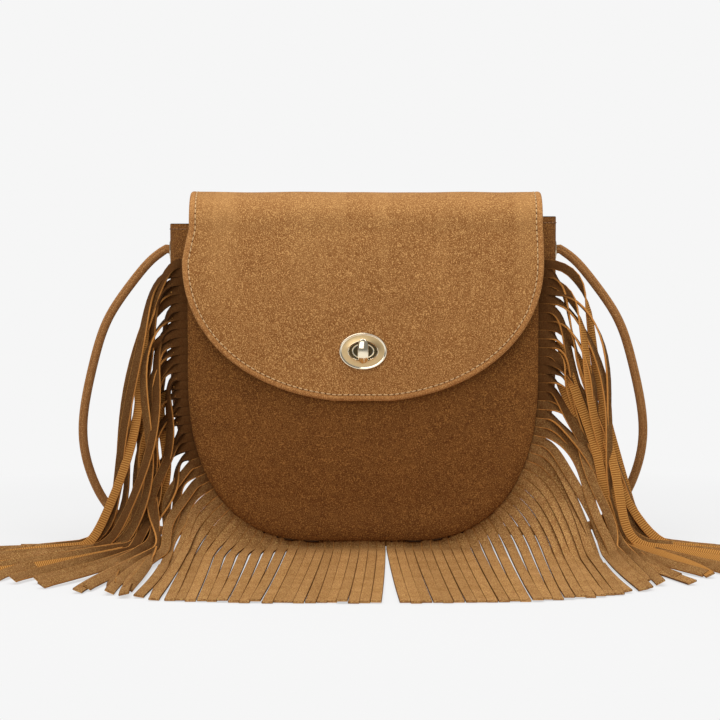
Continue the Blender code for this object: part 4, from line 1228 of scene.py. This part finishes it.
STRIP_CLEAR = 0.0004
PILE_STEP = 0.0013
SWAY = 0.0045
FLOOR_CLEAR = 0.0001
FRINGE_HALF = seam_length_at(FRINGE_TOP)
chance = random.Random(11)
print("fringe seam on each side:", round(FRINGE_HALF, 4), "m")

# %% [markdown]
# A strip that lies on the floor points somewhere. Below the bag the strips fan out so that their tips are
# evenly spread, and towards the sides they flare outwards. Shares that ease in and out keep both changes
# smooth from strip to strip.

# %% A strip's heading
def eased_share(value):
    """A share from 0 to 1 that starts and ends softly."""
    value = min(max(value, 0.0), 1.0)
    return value * value * (3 - 2 * value)


def bezier(points, t):
    """A point of the curve that four points steer."""
    s = 1 - t
    p0, p1, p2, p3 = points
    return p0 * s ** 3 + p1 * (3 * s * s * t) + p2 * (3 * s * t * t) + p3 * t ** 3


def strip_heading(along, side, fall, landing):
    """Angle from straight ahead at which a strip lies: fanned below, flared at the sides."""
    apart = abs(along - FRINGE_PARTING)
    tip = side * along + FAN_START + FAN_SHARE * apart
    lying = max(STRIP_LENGTH - FALL_SLACK * fall, STRIP_WIDTH)
    fan = math.asin(min(max((tip - side * landing.x) / lying, -1.0), 1.0))
    flare = eased_share((apart - FLARE_START) / FLARE_REACH)
    return fan * (1 - flare) + math.radians(FRINGE_FLARE) * flare


def floor_face(run, side, angle):
    """Which way a strip on the floor faces: up, and tilted by an angle to the viewer's side."""
    level = Vector((run.x, run.y, 0.0)).normalized()
    across = Vector((side * level.y, -side * level.x, 0.0))
    if across.y > 0:
        across = -across
    face = Vector((0, 0, 1)) * math.cos(angle) + across * math.sin(angle)
    return (face - run * face.dot(run)).normalized()


print("a strip 0.2 m from the parting heads", round(math.degrees(
    strip_heading(FRINGE_PARTING + 0.2, 1, 0.1, Vector((0.15, -0.05, 0.0)))), 1), "degrees outwards")

# %% [markdown]
# One strip is a line of points in three parts: out of the seam, down a Bezier curve to where it lands, and on
# over the floor for the rest of its length. Cloth simulation could drop it, but ninety strips would take long
# and never land as in the picture. Each strip has its own random numbers, and noises make neighbours bunch
# together. Where strips crowd, every third one lies a little higher than the two before.

# %% A strip's points
TILT, TILT_CHANGE, TILT_LOST = 60, 16, 0.45
CROWD_START, CROWD_REACH = 0.09, 0.03
REACH_POWER = 0.85
CLUMP_OUT, OWN_OUT = 0.010, 0.007
CLUMP_AHEAD, OWN_AHEAD = 0.030, 0.014
CLUMP_HEADING, OWN_HEADING, LYING_HEADING = 15, 6, 0.15
LEAST_AHEAD = 0.006
FALL_PULL = 0.006
PUSH_CHANGE = 0.45
SIDEWAYS_WAVES, FORWARD_WAVES = 1.3, 1.1
LENGTH_CHANGE = 0.002
FLOOR_BEND, STEADY_BEND = 14, 0.5
CURL, CURL_CHANCE, CURL_START = 0.0022, 0.45, 0.7


def fall_points(curve, loose, own):
    """The fall of a strip, with a slight sway where it hangs free."""
    fall = []
    for step in range(FALL_STEPS + 1):
        share = step / FALL_STEPS
        sway = loose * SWAY * math.sin(math.pi * share)
        sideways = sway * math.sin(2 * math.pi * (SIDEWAYS_WAVES * share + own[10]))
        forwards = sway * math.sin(2 * math.pi * (FORWARD_WAVES * share + own[11]))
        fall.append(bezier(curve, share) + Vector((sideways, forwards, 0.0)))
    return fall


def strip_points(along, side, index, loose, corner, own):
    """A strip's centre line, the step at which it lands, and its tilt there and at each later step."""
    apart = abs(along - FRINGE_PARTING)
    clump = [noise.noise(Vector((apart * CLUMP_FINENESS, side * 3.0, seed))) for seed in (0.0, 7.0, 13.0)]
    seam, normal = seam_point(along), seam_normal(along)
    climb = max((seam.y - BOTTOM_DROP) / (FRINGE_TOP - BOTTOM_DROP), 0.0)
    edge = Vector((normal.x, 0.0, normal.y))
    start = Vector((seam.x, FRINGE_PLANE, seam.y))
    near_floor = 1 - min(climb / FLOOR_LIFT_CLIMB, 1.0)
    band_end = start + edge * FRINGE_BAND * (1 - FLOOR_LIFT_SHARE * near_floor)
    tilt = loose * math.radians(TILT + TILT_CHANGE * own[4])
    crowd = eased_share((apart - CROWD_START) / CROWD_REACH)
    settled = FRINGE_THICKNESS / 2 + STRIP_CLEAR
    half = SIDE_WIDE * STRIP_SHOWN / 2
    piled = PILE_STEP * crowd * (index % 3)
    lift = settled + half * math.sin(tilt) + piled
    out = FRINGE_REACH * climb ** REACH_POWER
    out += loose * (SIDE_SHIFTS[side] + CLUMP_OUT * clump[0] + OWN_OUT * own[0])
    ahead = FRINGE_STEP + FRINGE_ADVANCE * 4 * climb * (1 - climb)
    ahead += loose * (CLUMP_AHEAD * clump[1] + OWN_AHEAD * own[1])
    ahead += CORNER_ADVANCE * corner
    out += CORNER_OUT * corner
    landing = Vector((seam.x + side * out, FRINGE_PLANE - max(ahead, LEAST_AHEAD), lift))
    heading = strip_heading(along, side, (landing - band_end).length, landing)
    astray = loose * (CLUMP_HEADING * clump[2] + OWN_HEADING * own[2])
    heading += math.radians(astray + LYING_HEADING * own[3])
    lie = Vector((side * math.sin(heading), -math.cos(heading), 0.0))
    push = (FRINGE_BAND + FALL_PUSH * climb) * (1 + PUSH_CHANGE * loose * own[5]) + CORNER_PUSH * corner
    pull = (FALL_PULL + FALL_PUSH * climb) * (1 + PUSH_CHANGE * loose * own[6]) + CORNER_PULL * corner
    fall = fall_points((band_end, band_end + edge * push, landing - lie * pull, landing), loose, own)
    fallen = sum((b - a).length for a, b in zip(fall, fall[1:]))
    rest = max(STRIP_LENGTH + LENGTH_CHANGE * own[7] - fallen, 2 * STRIP_WIDTH)
    bend = side * math.radians(loose * FLOOR_BEND * own[8] + STEADY_BEND)
    floor, tilts = [], []
    here = landing
    for step in range(1, FLOOR_STEPS + 1):
        share = step / FLOOR_STEPS
        here = here + Matrix.Rotation(bend * (share - 0.5) * 2, 3, "Z") @ lie * (rest / FLOOR_STEPS)
        tilts.append(tilt * (1 - TILT_LOST * share))
        low = settled + half * math.sin(tilts[-1]) + piled * (1 - share) ** 0.5
        low += CURL * max(own[9] - CURL_CHANCE, 0.0) * max(share - CURL_START, 0.0) / (1 - CURL_START)
        floor.append(Vector((here.x, here.y, low)))
    points = [start - edge * FRINGE_TUCK] + [start.lerp(band_end, s) for s in (0.3, 0.7)] + fall + floor
    return points, 2 + len(fall), tilt, tilts


print("a fall has", FALL_STEPS + 1, "points, a rest on the floor", FLOOR_STEPS)

# %% [markdown]
# A strip leaves the seam flat to the viewer and ends flat on the floor, so it turns on its way down. Hanging
# strips also lean, so that some show their edge and dark gaps open between them, and some turn right over
# and show the ribbed back. Near the seam and in a bundle a strip has a darker tone, which is painted shade.
# Nothing may reach below the floor, so each point is kept above it by what the strip's width and tilt need.

# %% How a strip turns
BACKS_START, BACKS_REACH = 0.14, 0.08
LEAN_RANGE = (0.1, 1.15)
FLIPPED_LEAN = 0.35
FLIPPED_BY = 0.3
TURN_FROM, TURN_OVER, CORNER_SOONER = 0.15, 0.75, 0.2
LEAN_IN, LEAN_OUT = 0.16, 0.3
SEAM_LEAN_IN, SEAM_LEAN_END, SEAM_LEAN_OUT = 0.08, 0.42, 0.3
SEAM_SHADE, SEAM_SHADE_REACH = 0.5, 0.05
SHADE_LOST = 0.6


def strip_faces(points, landed, side, apart, loose, corner, tilt, tilts):
    """The strip as (point, outward direction, width) for each point."""
    frames = frames_along(points, Vector((0, -1, 0)))
    back_share = BACKS_SHOWN[side] * eased_share((apart - BACKS_START) / BACKS_REACH)
    flipped = loose > 0.5 and chance.random() < back_share
    sign = -1 if flipped else 1
    _, run, face = frames[landed]
    goal = floor_face(run, side, tilt) * sign
    turn = math.atan2(run.dot(face.cross(goal)), face.dot(goal))
    lean = -side * loose * chance.uniform(*LEAN_RANGE) * (FLIPPED_LEAN if flipped else 1.0)
    line = []
    for step, (point, run, face) in enumerate(frames):
        if step > landed:
            face = floor_face(run, side, tilts[step - landed - 1]) * sign
        else:
            share = max((step - 3) / (landed - 3), 0.0)
            turned = eased_share((share - TURN_FROM) / (TURN_OVER - CORNER_SOONER * corner))
            if flipped:
                turned = eased_share(share / FLIPPED_BY)
            angle = turn * turned + lean * eased_share(share / LEAN_IN) * eased_share((1 - share) / LEAN_OUT)
            leaving = eased_share((SEAM_LEAN_END - share) / SEAM_LEAN_OUT)
            angle -= side * SEAM_LEAN * loose * eased_share(share / SEAM_LEAN_IN) * leaving
            face = Matrix.Rotation(angle, 3, run) @ face
        reach = STRIP_SHOWN * WIDEST / 2 * abs(run.cross(face).z) + FRINGE_THICKNESS / 2 * abs(face.z)
        line.append((Vector((point.x, point.y, max(point.z, reach + FLOOR_CLEAR))), face, 1.0))
    return line


def strip_tones(points, landed, side, loose, change):
    """How shaded each point of a strip is."""
    tones = []
    gone = 0.0
    for step, point in enumerate(points):
        gone += (point - points[max(step - 1, 0)]).length
        past_floor = max(step - landed, 0) / FLOOR_STEPS
        dark = SEAM_SHADE * (1 - eased_share(gone / SEAM_SHADE_REACH))
        dark += SIDE_SHADES[side] * loose * (1 - SHADE_LOST * eased_share(past_floor * 2))
        tones.append(change + dark)
    return tones


print("of the strips high up,", BACKS_SHOWN, "show their back on each side")

# %% [markdown]
# A strip is loose when it starts high enough to hang free, and a corner strip when it starts between the
# lying and the loose ones. Its random numbers are drawn first, so that the fringe stays the same when a
# formula changes.

# %% One strip
CORNER_START, CORNER_REACH = 0.05, 0.05
OWN_NUMBERS = 14
TONE_CHANGE = 0.16


def strip_path(along, side, index):
    """One strip as (point, outward direction, width) for each point, and its tones."""
    apart = abs(along - FRINGE_PARTING)
    loose = eased_share((apart - LOOSE_START) / LOOSE_REACH)
    corner = eased_share((apart - CORNER_START) / CORNER_REACH) * (1 - loose)
    own = [chance.uniform(-1, 1) for _ in range(OWN_NUMBERS)]
    points, landed, tilt, tilts = strip_points(along, side, index, loose, corner, own)
    line = strip_faces(points, landed, side, apart, loose, corner, tilt, tilts)
    return line, strip_tones(points, landed, side, loose, TONE_CHANGE * own[12])


print("loose strips start", LOOSE_START, "to", LOOSE_START + LOOSE_REACH, "m from the parting")

# %% [markdown]
# In the photo only a cut parts the lying strips, although they fan out. So the lower ones are widened until
# they nearly touch, by an eighth at most. After that the ribbon tree turns all lines of a side to one mesh.

# %% Both fringes
LOWER_HALF = 0.085
LOWER_FADE = 0.02


def side_by_side(lines):
    """The lines with the strips of the lower group as wide as their distance."""
    wider = []
    for index, line in enumerate(lines):
        near = [lines[other] for other in (index - 1, index + 1) if 0 <= other < len(lines)]
        lower = 1 - eased_share((abs(line[0][0].x) - LOWER_HALF) / LOWER_FADE)
        fitted = []
        for step, (point, face, _) in enumerate(line):
            apart = sum((other[step][0] - point).length for other in near) / len(near)
            filled = min(max(apart / STRIP_SHOWN, 1.0), WIDEST)
            fitted.append((point, face, SIDE_WIDE + lower * (filled - SIDE_WIDE)))
        wider.append(fitted)
    return wider


def fringe(name, side):
    """The strips of one side of the parting, as one mesh."""
    reach = FRINGE_HALF - side * FRINGE_PARTING
    count = round(reach / STRIP_PITCH)
    pitch = (reach - GAP) / count
    starts = [FRINGE_PARTING + side * (GAP + (index + 0.5) * pitch) for index in range(count)]
    strips = [strip_path(start, side, index) for index, start in enumerate(starts)]
    lines = side_by_side([line for line, _ in strips])
    tones = [tone_and_shade for _, tone_and_shade in strips]
    made = grow(path_mesh(name, lines, tones), RIBBON_TREE, {
        "Width": STRIP_SHOWN, "Thickness": FRINGE_THICKNESS, "Finish": FRINGE_SUEDE,
    })
    made.data.shade_smooth()
    made.data.set_sharp_from_angle(angle=math.radians(50))
    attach(made, "bag")
    print(name + ":", count, "strips,", len(made.data.polygons), "faces")
    return made


fringe_left = fringe("fringe_left_strips", -1)
fringe_right = fringe("fringe_right_strips", 1)
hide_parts("fringe_left")
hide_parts("fringe_right")

# %% [markdown]
# The uncut band of the fringe is what is sewn into the seam. It shows as a thin dark crease all round, from
# which the cut strips start; its darkness is painted shade. One ribbon along the seam is enough for it, with
# the highest tone, which paints it nearly black.

# %% Fringe band
BAND_SHOWN = 0.0011
CREASE_SHADE_TONE = 2.2
BAND_THICKNESS = FRINGE_THICKNESS + 0.0001


def band(name, side):
    """The band along one side of the seam, from the parting to the top of the fringe."""
    line = []
    for along in spread(160, FRINGE_PARTING + side * GAP, side * FRINGE_HALF):
        point, normal = seam_point(along), seam_normal(along)
        climb = max((point.y - BOTTOM_DROP) / (FRINGE_TOP - BOTTOM_DROP), 0.0)
        near_floor = 1 - min(climb / FLOOR_LIFT_CLIMB, 1.0)
        reach = BAND_SHOWN * (1 - FLOOR_LIFT_SHARE * near_floor)
        middle = point + normal * ((reach - FRINGE_TUCK) / 2)
        wide = (reach + FRINGE_TUCK) / STRIP_WIDTH
        line.append((Vector((middle.x, FRINGE_PLANE, middle.y)), Vector((0, -1, 0)), wide))
    made = grow(path_mesh(name, [line], [[CREASE_SHADE_TONE] * len(line)]), RIBBON_TREE, {
        "Width": STRIP_WIDTH, "Thickness": BAND_THICKNESS, "Finish": FRINGE_SUEDE,
    })
    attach(made, "bag")
    return made


for name, side in (("fringe_left_band", -1), ("fringe_right_band", 1)):
    print(name + ":", len(band(name, side).data.polygons), "faces")

# %% [markdown]
# The turn lock has an oval plate on the flap, an oval boss that comes through the plate's hole, and a knob
# that turns across the hole to lock it. Each is a stack of ovals joined into a skin, so its polished rims
# and hollows can follow the real profile. The boss has a dark collar inside the hole, a bright ring and a
# dark recess round the knob's spindle, because the photo shows little light in there.

# %% Lock plate and base
PANEL_FACE = -(FRONT_DEPTH + FRONT_BULGE)
PLATE_BACK = 0.0051
PLATE_FRONT = 0.0063
BOSS_FRONT = 0.0060
KNOB_BACK = 0.0068
OVAL_STEPS = 96


def oval_stack(name, rings, finishes, closed=True, shares=None, cap=0):
    """A skin of rings (half width, half height, distance in front of the panel), one finish for each band."""
    bm = bmesh.new()
    made_rings = []
    for a, b, out in rings:
        ring = []
        for step in range(OVAL_STEPS):
            angle = 2 * math.pi * step / OVAL_STEPS
            place = (a * math.cos(angle), PANEL_FACE - out, LOCK_HEIGHT + b * math.sin(angle))
            ring.append(bm.verts.new(place))
        made_rings.append(ring)
    pairs = list(zip(made_rings, made_rings[1:]))
    if closed:
        pairs.append((made_rings[-1], made_rings[0]))
    for index, (first, second) in enumerate(pairs):
        for face in join_rings(bm, first, second):
            face.material_index = shares[index] if shares else 0
    if not closed:
        bm.faces.new(made_rings[0])
        bm.faces.new(made_rings[-1]).material_index = cap
    return add_object(name, finished_mesh(bm, name, 40), *finishes)


def ovals(half_width, half_height, steps):
    """Rings from insets and distances out: ((inset, out), ...)."""
    return [(half_width - inset, half_height - inset, out) for inset, out in steps]


plate_rings = ovals(0.0155, 0.012, (
    (0.0002, PLATE_BACK), (0.0, PLATE_BACK + 0.0003), (0.0, PLATE_FRONT - 0.0005),
    (0.0002, PLATE_FRONT - 0.0001), (0.0006, PLATE_FRONT), (0.0010, PLATE_FRONT - 0.0001),
    (0.0013, PLATE_FRONT - 0.00025), (0.0016, PLATE_FRONT - 0.00025),
)) + ovals(0.009, 0.00575, (
    (-0.0010, PLATE_FRONT - 0.0001), (-0.0008, PLATE_FRONT), (-0.0002, PLATE_FRONT - 0.0003),
    (0.0, PLATE_FRONT - 0.0007), (0.0, PLATE_BACK),
))
plate_finish = [1] * 7 + [0] + [1] * 5
lock_plate = oval_stack("lock_plate_metal", plate_rings, (SATIN_GOLD, BRIGHT_GOLD), True, plate_finish)
boss_rings = ovals(0.0105, 0.00875, ((0.0, 0.0003), (0.0, 0.0010), (0.0004, 0.0012)))
boss_rings += ovals(0.0089, 0.00565, ((0.0, 0.0012), (0.0, PLATE_BACK - 0.0001)))
boss_rings += ovals(0.00725, 0.005, (
    (0.0, PLATE_BACK - 0.0001), (0.0, BOSS_FRONT - 0.0003), (0.0003, BOSS_FRONT), (0.0008, BOSS_FRONT),
    (0.0010, BOSS_FRONT - 0.0004), (0.0025, BOSS_FRONT - 0.0005),
))
# finish 2 is painted shade: the dark collar, recess and cap, where little light gets in
boss_finish = [0, 0, 0, 0, 2, 1, 1, 1, 2, 2]
boss_metals = (SATIN_GOLD, BRIGHT_GOLD, PAINTED_SHADE_GOLD)
lock_base = oval_stack("lock_base_metal", boss_rings, boss_metals, False, boss_finish, cap=2)
belongs(lock_plate, "bag", "gold", "lock_plate")
belongs(lock_base, "bag", "gold", "lock_base")
print("lock plate:", len(lock_plate.data.polygons), "faces")

# %% [markdown]
# The knob is a small bar with sloped, rounded ends, polished all over. Sections up its length follow the same
# formulas as the solid, with a rounder outline, and its short spindle goes back into the boss.

# %% Knob
KNOB_LENGTH = 0.0162
KNOB_WIDTH = 0.0072
KNOB_DEPTH = 0.0030
KNOB_EDGE_DEPTH = 0.0012
KNOB_SECTIONS = 40
KNOB_SIDES = 24
KNOB_ROUNDNESS = 0.7
SPINDLE_RADIUS = 0.0015
SPINDLE_LENGTH = 0.006
SPINDLE_INSET = 0.0025


def softer(value):
    """A sine or cosine with its sign kept and its curve made squarer."""
    return math.copysign(abs(value) ** KNOB_ROUNDNESS, value)


def knob_mesh():
    """The bar and its spindle."""
    bm = bmesh.new()
    rings = []
    for index in range(KNOB_SECTIONS + 1):
        t = math.sin(math.pi * (index / KNOB_SECTIONS - 0.5))
        half = KNOB_WIDTH / 2 * math.sqrt(max(1 - abs(t) ** 3.5, 0.0004))
        depth = KNOB_EDGE_DEPTH + (KNOB_DEPTH - KNOB_EDGE_DEPTH) * (1 - abs(t) ** 2.2)
        ring = []
        for step in range(KNOB_SIDES):
            angle = 2 * math.pi * step / KNOB_SIDES
            x = half * softer(math.cos(angle))
            y = depth / 2 * (1 - softer(math.sin(angle)))
            ring.append(bm.verts.new((x, PANEL_FACE - KNOB_BACK - y, LOCK_HEIGHT + KNOB_LENGTH / 2 * t)))
        rings.append(ring)
    for lower, upper in zip(rings, rings[1:]):
        join_rings(bm, lower, upper)
    bm.faces.new(rings[0][::-1])
    bm.faces.new(rings[-1])
    made = bmesh.ops.create_cone(bm, cap_ends=True, segments=KNOB_SIDES, radius1=SPINDLE_RADIUS,
                                 radius2=SPINDLE_RADIUS, depth=SPINDLE_LENGTH)
    place = Matrix.Translation((0.0, PANEL_FACE - KNOB_BACK + SPINDLE_INSET, LOCK_HEIGHT))
    turn = place @ Matrix.Rotation(math.pi / 2, 4, "X")
    bmesh.ops.transform(bm, matrix=turn, verts=made["verts"])
    return finished_mesh(bm, "lock_knob_metal", 60)


lock_knob = add_object("lock_knob_metal", knob_mesh(), BRIGHT_GOLD)
belongs(lock_knob, "knob", "gold", "lock_knob")
print("knob:", len(lock_knob.data.polygons), "faces")

# %% [markdown]
# The eyelets are turned rings: a rounded rim outside, a barrel through suede and lining, and a flared end
# inside. A profile turned about its axis gives each of them.

# %% Eyelets
TURN_STEPS = 48


def turned_ring(name, profile, middle, side, finish):
    """A closed profile of (radius, height) turned about the X axis; height points away from the bag."""
    bm = bmesh.new()
    rings = []
    for step in range(TURN_STEPS):
        angle = 2 * math.pi * step / TURN_STEPS
        rings.append([bm.verts.new((
            middle[0] + side * h, middle[1] + r * math.cos(angle), middle[2] + r * math.sin(angle),
        )) for r, h in profile])
    for first, second in zip(rings, rings[1:] + rings[:1]):
        join_rings(bm, first, second)
    return add_object(name, finished_mesh(bm, name, 40), finish)


eyelet_profile = [
    (0.0063, 0.0003), (0.0062, 0.0007), (0.0057, 0.0011), (0.0050, 0.0011), (0.0043, 0.0008),
    (0.0040, 0.0002), (0.0040, -0.0044), (0.0055, -0.0044), (0.0055, -0.0039), (0.0045, -0.0039),
    (0.0045, 0.0003),
]
for side, word in ((-1, "left"), (1, "right")):
    middle = (side * GUSSET_FACE, 0.0, EYELET_HEIGHT)
    ring = turned_ring(f"eyelet_{word}_metal", eyelet_profile, middle, side, BRIGHT_GOLD)
    belongs(ring, "bag", "gold", f"eyelet_{word}")
    print(ring.name + ":", len(ring.data.polygons), "faces")

# %% [markdown]
# The metal pieces that nobody sees could be dressed too, but it would not show. They keep their plain solids
# and only get the plating.

# %% Hidden metal
HIDDEN_METAL = (
    "lock_plate_backer", "lock_base_washer", "lock_retainer", "eyelet_washer_left", "eyelet_washer_right",
)
for name in HIDDEN_METAL:
    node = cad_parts[name]
    for item in node.material_slots:
        item.link = "OBJECT"
        item.material = SATIN_GOLD
print("plated", len(HIDDEN_METAL), "hidden pieces")

# %% [markdown]
# Inside each ear the strap ends in a knot that is too big for the eyelet. A real overhand knot is a line that
# goes twice round and three times over and under, so the same sweep as the strap's makes it. The knots are
# tied in the strap.

# %% Stopper knots
KNOT_CENTRE = 0.1151
KNOT_LOOP = 0.0016
KNOT_RADIUS = 0.0022
KNOT_DEPTH = 1.4
KNOT_OVERLAP = 0.1
knot_angles = spread(16, 0.0, 2 * math.pi)[:-1]
knot_section = [(KNOT_RADIUS * math.cos(angle), KNOT_RADIUS * math.sin(angle)) for angle in knot_angles]
for side, word in ((-1, "left"), (1, "right")):
    line = []
    for turn in spread(90, 0.0, 2 * math.pi + KNOT_OVERLAP):
        loop = Vector((
            -KNOT_DEPTH * math.sin(3 * turn),
            math.sin(turn) + 2 * math.sin(2 * turn),
            math.cos(turn) - 2 * math.cos(2 * turn),
        ))
        line.append(Vector((side * KNOT_CENTRE, 0.0, EYELET_HEIGHT)) + loop * KNOT_LOOP)
    knot = swept(f"strap_knot_{word}_suede", line, knot_section, Vector((1, 0, 0)), STRAP_SUEDE)
    belongs(knot, "bag", "suede_strap", f"strap_knot_{word}")

# %% [markdown]
# The cloth pieces were cut flat before they were sewn. For each, the width, length and area of its pattern
# come from the formulas above and not from the finished mesh, and they are printed with the share of the
# mesh's surface to that area. The gusset's width is the arc of its section.

# %% Flat sizes of the cloth
def flap_cut(inset):
    """Width, length and area of a flap layer laid flat."""
    line = flap_line(inset)
    steps = [(math.dist(a[:2], b[:2]), a[2] + b[2]) for a, b in zip(line, line[1:])]
    return 2 * (FLAP_HALF_WIDTH - inset), sum(run for run, _ in steps), sum(run * wide for run, wide in steps)


def panel_cut():
    """Width, height and area inside the seam."""
    rows = [panel_row(v) for v in spread(PANEL_ROWS)]
    area = sum((b[1] - a[1]) * (a[0] + b[0]) for a, b in zip(rows, rows[1:]))
    return 2 * HALF_WIDTH, MOUTH_HEIGHT - BOTTOM_DROP, area


def strip_cut(wide, long):
    """Width, length and area of a straight strip."""
    return wide, long, wide * long


arc_shares = spread(40, -1.0, 1.0)
gusset_arc = [Vector((share * GUSSET_HALF_DEPTH, side_swell(share, MOUTH_HEIGHT))) for share in arc_shares]
gusset_wide = sum((b - a).length for a, b in zip(gusset_arc, gusset_arc[1:]))
lining_round = 4 * (HALF_WIDTH + GUSSET_HALF_DEPTH)
lining_deep = MOUTH_HEIGHT - BOTTOM_DROP + GUSSET_HALF_DEPTH
lining_area = 2 * panel_cut()[2] + 4 * GUSSET_HALF_DEPTH * SEAM_HALF
strip_long = FRINGE_TUCK + FRINGE_BAND + STRIP_LENGTH
cloths = (
    (flap, flap_cut(0.0), "folded", front_panel),
    (flap_lining, flap_cut(FLAP_LINING_INSET), "folded", front_panel),
    (front_panel, panel_cut(), "stretched", gusset),
    (back_panel, panel_cut(), "stretched", gusset),
    (gusset, strip_cut(gusset_wide, 2 * SEAM_HALF), "stretched", "studio_floor"),
    (lining, (lining_round, lining_deep, lining_area), "hung", gusset),
    (fringe_left, strip_cut(FRINGE_HALF + FRINGE_PARTING, strip_long), "hung", "studio_floor"),
    (fringe_right, strip_cut(FRINGE_HALF - FRINGE_PARTING, strip_long), "hung", "studio_floor"),
)
for piece, (wide, long, area), held, support in cloths:
    surface = sum(face.area for face in piece.data.polygons) / 2
    shares = ("surface to pattern", round(surface / area, 3))
    print(piece.name, "pattern", round(wide, 4), "x", round(long, 4), *shares)

# %% [markdown]
# The studio is a pale floor without an edge. More light could make it white, but it would bleach the bag. So
# to the camera the floor is mostly the photo's white, with a share of real shading near the bag that keeps
# its soft shadow and fades out around it.

# %% Studio floor
WHITE = linear(246, 246, 246)
FLOOR_PAINT = linear(227, 227, 227)
SHADOW_SHARE = 0.38
SHADOW_INNER = 0.25
SHADOW_OUTER = 0.55
FLOOR_SIZE = 30.0


def floor_finish():
    """Pale paint that the camera sees as nearly white."""
    made, tree, shader = new_material("studio_floor")
    shader.inputs["Base Color"].default_value = FLOOR_PAINT
    shader.inputs["Roughness"].default_value = 0.9
    shader.inputs["Specular IOR Level"].default_value = 0.0
    glow = add_node(tree, "ShaderNodeEmission", {"Color": WHITE, "Strength": 1.0})
    place = object_place(tree)
    apart = add_node(tree, "ShaderNodeVectorMath", {0: place}, operation="LENGTH").outputs["Value"]
    shade = part_of(tree, ramp(tree, apart, SHADOW_OUTER, SHADOW_INNER), SHADOW_SHARE)
    seen = add_node(tree, "ShaderNodeLightPath").outputs["Is Camera Ray"]
    share = math_node(tree, "MULTIPLY", seen, math_node(tree, "SUBTRACT", 1.0, shade))
    values = {0: share, 1: shader.outputs[0], 2: glow.outputs[0]}
    both = add_node(tree, "ShaderNodeMixShader", values)
    out = next(node for node in tree.nodes if node.type == "OUTPUT_MATERIAL")
    tree.links.new(both.outputs[0], out.inputs["Surface"])
    return made


bm = bmesh.new()
bmesh.ops.create_grid(bm, x_segments=1, y_segments=1, size=FLOOR_SIZE)
floor_mesh = bpy.data.meshes.new("studio_floor")
bm.to_mesh(floor_mesh)
bm.free()
floor = add_object("studio_floor", floor_mesh, floor_finish())
print("floor:", 2 * FLOOR_SIZE, "m wide")

# %% [markdown]
# The world is what lies beyond the floor. It gives an even light from all sides, looks white to the camera,
# and is dimmer where it shines back from metal, because polished metal in a studio shows dark surroundings
# beside its highlights.

# %% Studio world
WORLD_LIGHT = 0.50
WORLD_IN_METAL = 0.22
PLAIN_WHITE = (1.0, 1.0, 1.0, 1.0)


def mix_shaders(tree, share, first, second):
    """Two shaders, the second by a share."""
    values = {0: share, 1: first, 2: second}
    return add_node(tree, "ShaderNodeMixShader", values).outputs[0]


world = bpy.data.worlds.new("studio")
bpy.context.scene.world = world
world.use_nodes = True
sky = world.node_tree
lit = sky.nodes["Background"]
lit.inputs["Color"].default_value = PLAIN_WHITE
lit.inputs["Strength"].default_value = WORLD_LIGHT
white = add_node(sky, "ShaderNodeBackground", {"Color": WHITE, "Strength": 1.0})
dim = add_node(sky, "ShaderNodeBackground", {"Color": PLAIN_WHITE, "Strength": WORLD_IN_METAL})
rays = add_node(sky, "ShaderNodeLightPath")
mirrored = mix_shaders(sky, rays.outputs["Is Glossy Ray"], lit.outputs[0], dim.outputs[0])
both = mix_shaders(sky, rays.outputs["Is Camera Ray"], mirrored, white.outputs[0])
out = next(node for node in sky.nodes if node.type == "OUTPUT_WORLD")
sky.links.new(both, out.inputs["Surface"])
print("world light:", WORLD_LIGHT, "and", WORLD_IN_METAL, "in metal")

# %% [markdown]
# A softbox is a lamp behind a big white cloth, so its shadows are soft. An area light is the same thing. One
# hangs overhead and makes the main light and the shadow under the bag, a weaker one stands in front on the
# left and fills the shade below the flap.

# %% Softboxes
LIT_PLACE = (0.0, 0.0, 0.1)


def softbox(name, place, target, size, power):
    """A rectangular area light that faces its target."""
    data = bpy.data.lights.new(name, "AREA")
    data.shape = "RECTANGLE"
    data.size, data.size_y = size
    data.energy = power
    made = bpy.data.objects.new(name, data)
    made.location = place
    made.rotation_mode = "QUATERNION"
    made.rotation_quaternion = (Vector(target) - Vector(place)).to_track_quat("-Z", "Y")
    bpy.context.scene.collection.objects.link(made)
    return made


overhead = softbox("overhead", (0.0, -0.35, 1.6), LIT_PLACE, (1.8, 1.2), 21.0)
front = softbox("front", (-0.5, -2.0, 1.0), LIT_PLACE, (1.2, 1.2), 9.0)
print("softboxes:", [(light.name, light.data.energy) for light in (overhead, front)])
